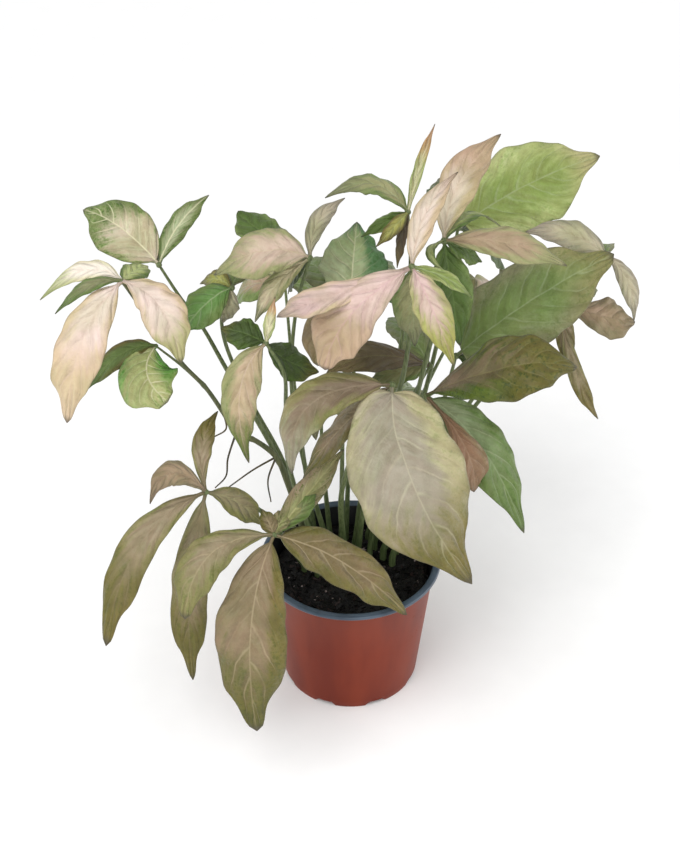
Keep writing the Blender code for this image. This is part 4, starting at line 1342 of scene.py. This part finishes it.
def turned(profile, sides, finishes=()):
    """A closed mesh turned about Z from (radius, height) points that start and end on the axis.

    A height may be a function of the radius and the angle. finishes gives the material of each span.
    """
    bm = bmesh.new()
    rings = []
    for radius, height in profile:
        if radius == 0:
            rings.append([bm.verts.new((0, 0, height))] * sides)
            continue
        ring = []
        for side in range(sides):
            angle = tau * side / sides
            z = height(radius, angle) if callable(height) else height
            ring.append(bm.verts.new((radius * cos(angle), radius * sin(angle), z)))
        rings.append(ring)
    for span, (here, there) in enumerate(zip(rings, rings[1:])):
        for side in range(sides):
            other = (side + 1) % sides
            corners = []
            for vert in (here[side], here[other], there[other], there[side]):
                if vert not in corners:
                    corners.append(vert)
            face = bm.faces.new(corners)
            face.smooth = True
            face.material_index = finishes[span] if finishes else 0
    bmesh.ops.recalc_face_normals(bm, faces=bm.faces)
    mesh = bpy.data.meshes.new("turned")
    bm.to_mesh(mesh)
    bm.free()
    return mesh


def notched(radius, angle):
    """The foot's height: the ground, but lifted in each drain notch, which has sloping sides."""
    turn = angle / tau * NOTCHES % 1.0
    from_middle = abs(turn - 0.5) * tau / NOTCHES * radius
    return NOTCH_HEIGHT * min(max((NOTCH_WIDTH / 2 - from_middle) / NOTCH_SIDE, 0.0), 1.0)


below_flange = wall_radius(POT_HEIGHT - FLANGE_HEIGHT)
print("wall radius at the foot and below the flange:", FOOT_RADIUS, round(below_flange, 4))

# %% Pot plastic
DUST = 0.62  # the grey that a scuff turns towards
TERRACOTTA = (0.485, 0.180, 0.084), (0.41, 0.13, 0.050)
BLACK = (0.065, 0.070, 0.080), (0.040, 0.042, 0.050)
# painted reflection: the flange is black plastic, painted slate blue where it reflects the pale sky
FLANGE_PAINTED_SHEEN = (0.29, 0.35, 0.41), (0.20, 0.25, 0.30)


def plastic(name, light, dark, gloss, scuffs, shine=0.45):
    """Moulded plastic: faint flow marks, a fine grain and a few scuffs."""
    material, wire, shader = new_material(name)
    place = wire.place()
    flow = wire.noise(place.stretched((1.0, 1.0, 0.25)), 45.0, 3.0)
    grain = wire.noise(place, 1500.0, 2.0)
    marks = wire.noise(place, 160.0, 5.0, 0.7).step(0.60, 0.74)
    paint = flow.step(0.3, 0.7).mix(linear(dark), linear(light))
    dusty = tuple(c + (DUST - c) * 0.35 for c in light)
    paint = (marks * scuffs).mix(paint, linear(dusty))
    plug(paint, shader["Base Color"])
    plug(gloss + 0.10 * flow + 0.15 * marks, shader["Roughness"])
    plug(bumped(wire, grain * 0.4 + flow, 0.15, 0.0004), shader["Normal"])
    shader["Specular IOR Level"].default_value = shine
    return material


terracotta = plastic("terracotta_plastic", *TERRACOTTA, 0.38, 0.10, 0.22)
black = plastic("black_plastic", *BLACK, 0.28, 0.20)
# the flange's finish: black plastic with a painted slate-blue reflection of the sky
flange_painted_sheen = plastic("flange_plastic_painted_sheen", *FLANGE_PAINTED_SHEEN, 0.24, 0.25)
print("pot finishes:", terracotta.name, black.name, flange_painted_sheen.name)

# %% The pot
SKIRT, FLOOR_SHEET, PAD_RADIUS = 0.0026, 0.0016, 0.014
POT_SIDES = 192
SHARP = radians(38)  # edges that bend more than this stay sharp


def pot_piece():
    """The pot, turned from its outline."""
    under = POT_HEIGHT - FLANGE_HEIGHT
    lip = RIM_RADIUS - RIM_FLANGE
    outside = [
        (0, 0),
        (PAD_RADIUS, 0),
        (PAD_RADIUS + 0.0015, POT_FLOOR - FLOOR_SHEET),
        (FOOT_RADIUS - SKIRT, POT_FLOOR - FLOOR_SHEET),
        (FOOT_RADIUS - SKIRT, notched),
        (FOOT_RADIUS - 0.0006, notched),
        (wall_radius(0.0034), 0.0034),
        (wall_radius(0.0060), 0.0060),
        (wall_radius(0.050), 0.050),
        (wall_radius(under - 0.0012), under - 0.0012),
        (wall_radius(under) + 0.0006, under),
    ]
    flange = [
        (RIM_RADIUS - 0.0010, under),
        (RIM_RADIUS - 0.0003, under + 0.0005),
        (RIM_RADIUS, under + 0.0012),
        (RIM_RADIUS - 0.0001, POT_HEIGHT - 0.0011),
        (RIM_RADIUS - 0.0006, POT_HEIGHT - 0.0003),
        (RIM_RADIUS - 0.0015, POT_HEIGHT),
        (lip + 0.0016, POT_HEIGHT - 0.0001),
        (lip + 0.0006, POT_HEIGHT - 0.0005),
        (lip, POT_HEIGHT - 0.0014),
    ]
    inside = [(wall_radius(POT_FLOOR) - POT_WALL, POT_FLOOR), (0, POT_FLOOR)]
    finishes = [0] * (len(outside) - 1) + [2] * len(flange) + [1] * len(inside)
    made = placed("nursery_pot", turned(outside + flange + inside, POT_SIDES, finishes))
    for plastic_kind in (terracotta, black, flange_painted_sheen):
        made.data.materials.append(plastic_kind)
    made.data.set_sharp_from_angle(angle=SHARP)
    return made


pot = dressed(pot_piece(), "pot")
print("pot:", len(pot.data.polygons), "faces")

# %% [markdown]
# ## Peat
#
# The filling is dark, moist peat. Its surface is a turned shape with a lumpy top, and over it lie loose
# crumbs and flat chips of bark. Those repeat thousands of times, so a second node tree scatters them on the
# surface, each turned and sized at random from a fixed seed, and sunk in a little.

# %% Peat surface
PEAT_RINGS, PEAT_SIDES = 26, 120
PEAT_REACH = 0.0495  # the radius of the lumpy top
GAP = 0.0003  # between the peat and the pot
LUMPS, CLODS, WALL_DIP, EDGE_DROP = (0.0012, 0.0009), (0.0011, 0.0007), 0.0015, 0.003
PEAT_DARK, PEAT_LIGHT = (0.012, 0.010, 0.008), (0.052, 0.042, 0.034)
BARK_CRUMB, GREY_CRUMB = (0.14, 0.09, 0.08), (0.56, 0.51, 0.50)


def peat_height(radius, angle):
    """A lumpy surface, a little lower at the wall and even at the middle."""
    lumps = LUMPS[0] * sin(3 * angle + 140 * radius) + LUMPS[1] * sin(7 * angle - 230 * radius)
    spot = Vector((radius * cos(angle), radius * sin(angle), 0.0))
    clods = CLODS[0] * noise.noise(spot * 160) + CLODS[1] * noise.noise(spot * 420)
    return SOIL_TOP - WALL_DIP * (radius / RIM_RADIUS) ** 2 + lumps * min(radius / 0.016, 1.0) + clods


def peat_finish():
    """Near-black moist peat with brown and grey crumbs in it."""
    material, wire, shader = new_material("moist_peat")
    tone = wire.read("tone")
    clods = wire.noise(wire.place(), 330.0, 5.0, 0.65)
    paint = clods.step(0.35, 0.75).mix(linear(PEAT_DARK), linear(PEAT_LIGHT))
    paint = tone.step(0.70, 0.92).mix(paint, linear(BARK_CRUMB))
    paint = tone.step(0.972, 0.980).mix(paint, linear(GREY_CRUMB))
    plug(paint, shader["Base Color"])
    plug(0.26 + 0.40 * clods, shader["Roughness"])
    plug(bumped(wire, clods, 0.8, 0.0012), shader["Normal"])
    shader["Specular IOR Level"].default_value = 0.24
    return material


peat = peat_finish()
clear = POT_WALL + GAP
low, edge = POT_FLOOR + GAP, SOIL_TOP - EDGE_DROP
profile = [(0, low), (wall_radius(low) - clear, low), (wall_radius(edge) - clear, edge)]
profile += [(PEAT_REACH * (1 - i / PEAT_RINGS), peat_height) for i in range(PEAT_RINGS)]
profile += [(0, peat_height(0, 0))]
filling = placed("peat_filling", turned(profile, PEAT_SIDES))
filling.data.materials.append(peat)
dressed(filling, "soil")
print("peat:", len(filling.data.polygons), "faces")

# %% The tree that scatters crumbs and chips
BITS = {"Crumbs": 260000.0, "Chips": 42000.0, "Crumb Size": 0.0018, "Chip Length": 0.0085}
CHIP_SHAPE = (1.0, 0.34, 0.12)
TILT = 0.6  # how far a bit leans at most, in radians
SURFACE_DEPTH = 0.010  # bits lie only on faces this near the top


def scatter_tree():
    """Loose crumbs and flat chips on the top, far enough from the wall that none pokes through it."""
    tree, given = new_tree("scattered_bits", {k: ("NodeSocketFloat", v) for k, v in BITS.items()})
    place = given.node("GeometryNodeInputPosition")
    level = place.stretched((1.0, 1.0, 0.0))
    from_axis = given.node("ShaderNodeVectorMath", {"operation": "LENGTH"}, {0: level}, out="Value")
    top = given.math("GREATER_THAN", place.part("Z"), SOIL_TOP - SURFACE_DEPTH)
    crumb = given.node("GeometryNodeMeshIcoSphere", {}, {"Radius": 0.5, "Subdivisions": 1})
    chip = given.node("GeometryNodeMeshCube", {}, {"Size": CHIP_SHAPE})
    whole = given.node("GeometryNodeJoinGeometry")
    kinds = (
        # shape, inputs for how many to a square metre and for the size, farthest from the axis, least and
        # most share of the size, seed
        (crumb, "Crumbs", "Crumb Size", 0.0500, (0.4, 0.4, 0.3), (1.5, 1.2, 0.9), 3),
        (chip, "Chips", "Chip Length", 0.0470, (0.25, 0.3, 0.5), (1.0, 0.9, 1.1), 8),
    )
    for shape, density, size, farthest, least, most, seed in kinds:
        inner = given.math("LESS_THAN", from_axis, farthest)
        spread = {"Mesh": given, "Selection": inner * top, "Density": given.out(density), "Seed": seed}
        points = given.node("GeometryNodeDistributePointsOnFaces", {}, spread)
        draw = {"data_type": "FLOAT_VECTOR"}
        limits = {0: (-TILT, -TILT, 0.0), 1: (TILT, TILT, tau), "Seed": seed}
        turn = given.node("FunctionNodeRandomValue", draw, limits)
        share = given.node("FunctionNodeRandomValue", draw, {0: least, 1: most, "Seed": seed + 1})
        scaled = {0: share, "Scale": given.out(size)}
        scale = given.node("ShaderNodeVectorMath", {"operation": "SCALE"}, scaled)
        bits = {"Points": points, "Instance": shape, "Rotation": turn, "Scale": scale}
        bits = given.node("GeometryNodeInstanceOnPoints", {}, bits)
        tone = given.node("FunctionNodeRandomValue", {"data_type": "FLOAT"}, {"Seed": seed + 2}, out=1)
        kept = {"data_type": "FLOAT", "domain": "INSTANCE"}
        label = {"Geometry": bits, "Name": "tone", "Value": tone}
        bits = given.node("GeometryNodeStoreNamedAttribute", kept, label)
        tree.links.new(bits.socket, whole.socket.node.inputs["Geometry"])
    solid = given.node("GeometryNodeRealizeInstances", {}, {"Geometry": whole})
    painted = given.node("GeometryNodeSetMaterial", {}, {"Geometry": solid, "Material": peat})
    given.node("NodeGroupOutput", {}, {"Geometry": painted})
    return tree


bits = grown(placed("peat_bits", filling.data.copy()), scatter_tree(), BITS)
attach(bits, "root")
print("loose bits:", len(bits.data.polygons), "faces")

# %% [markdown]
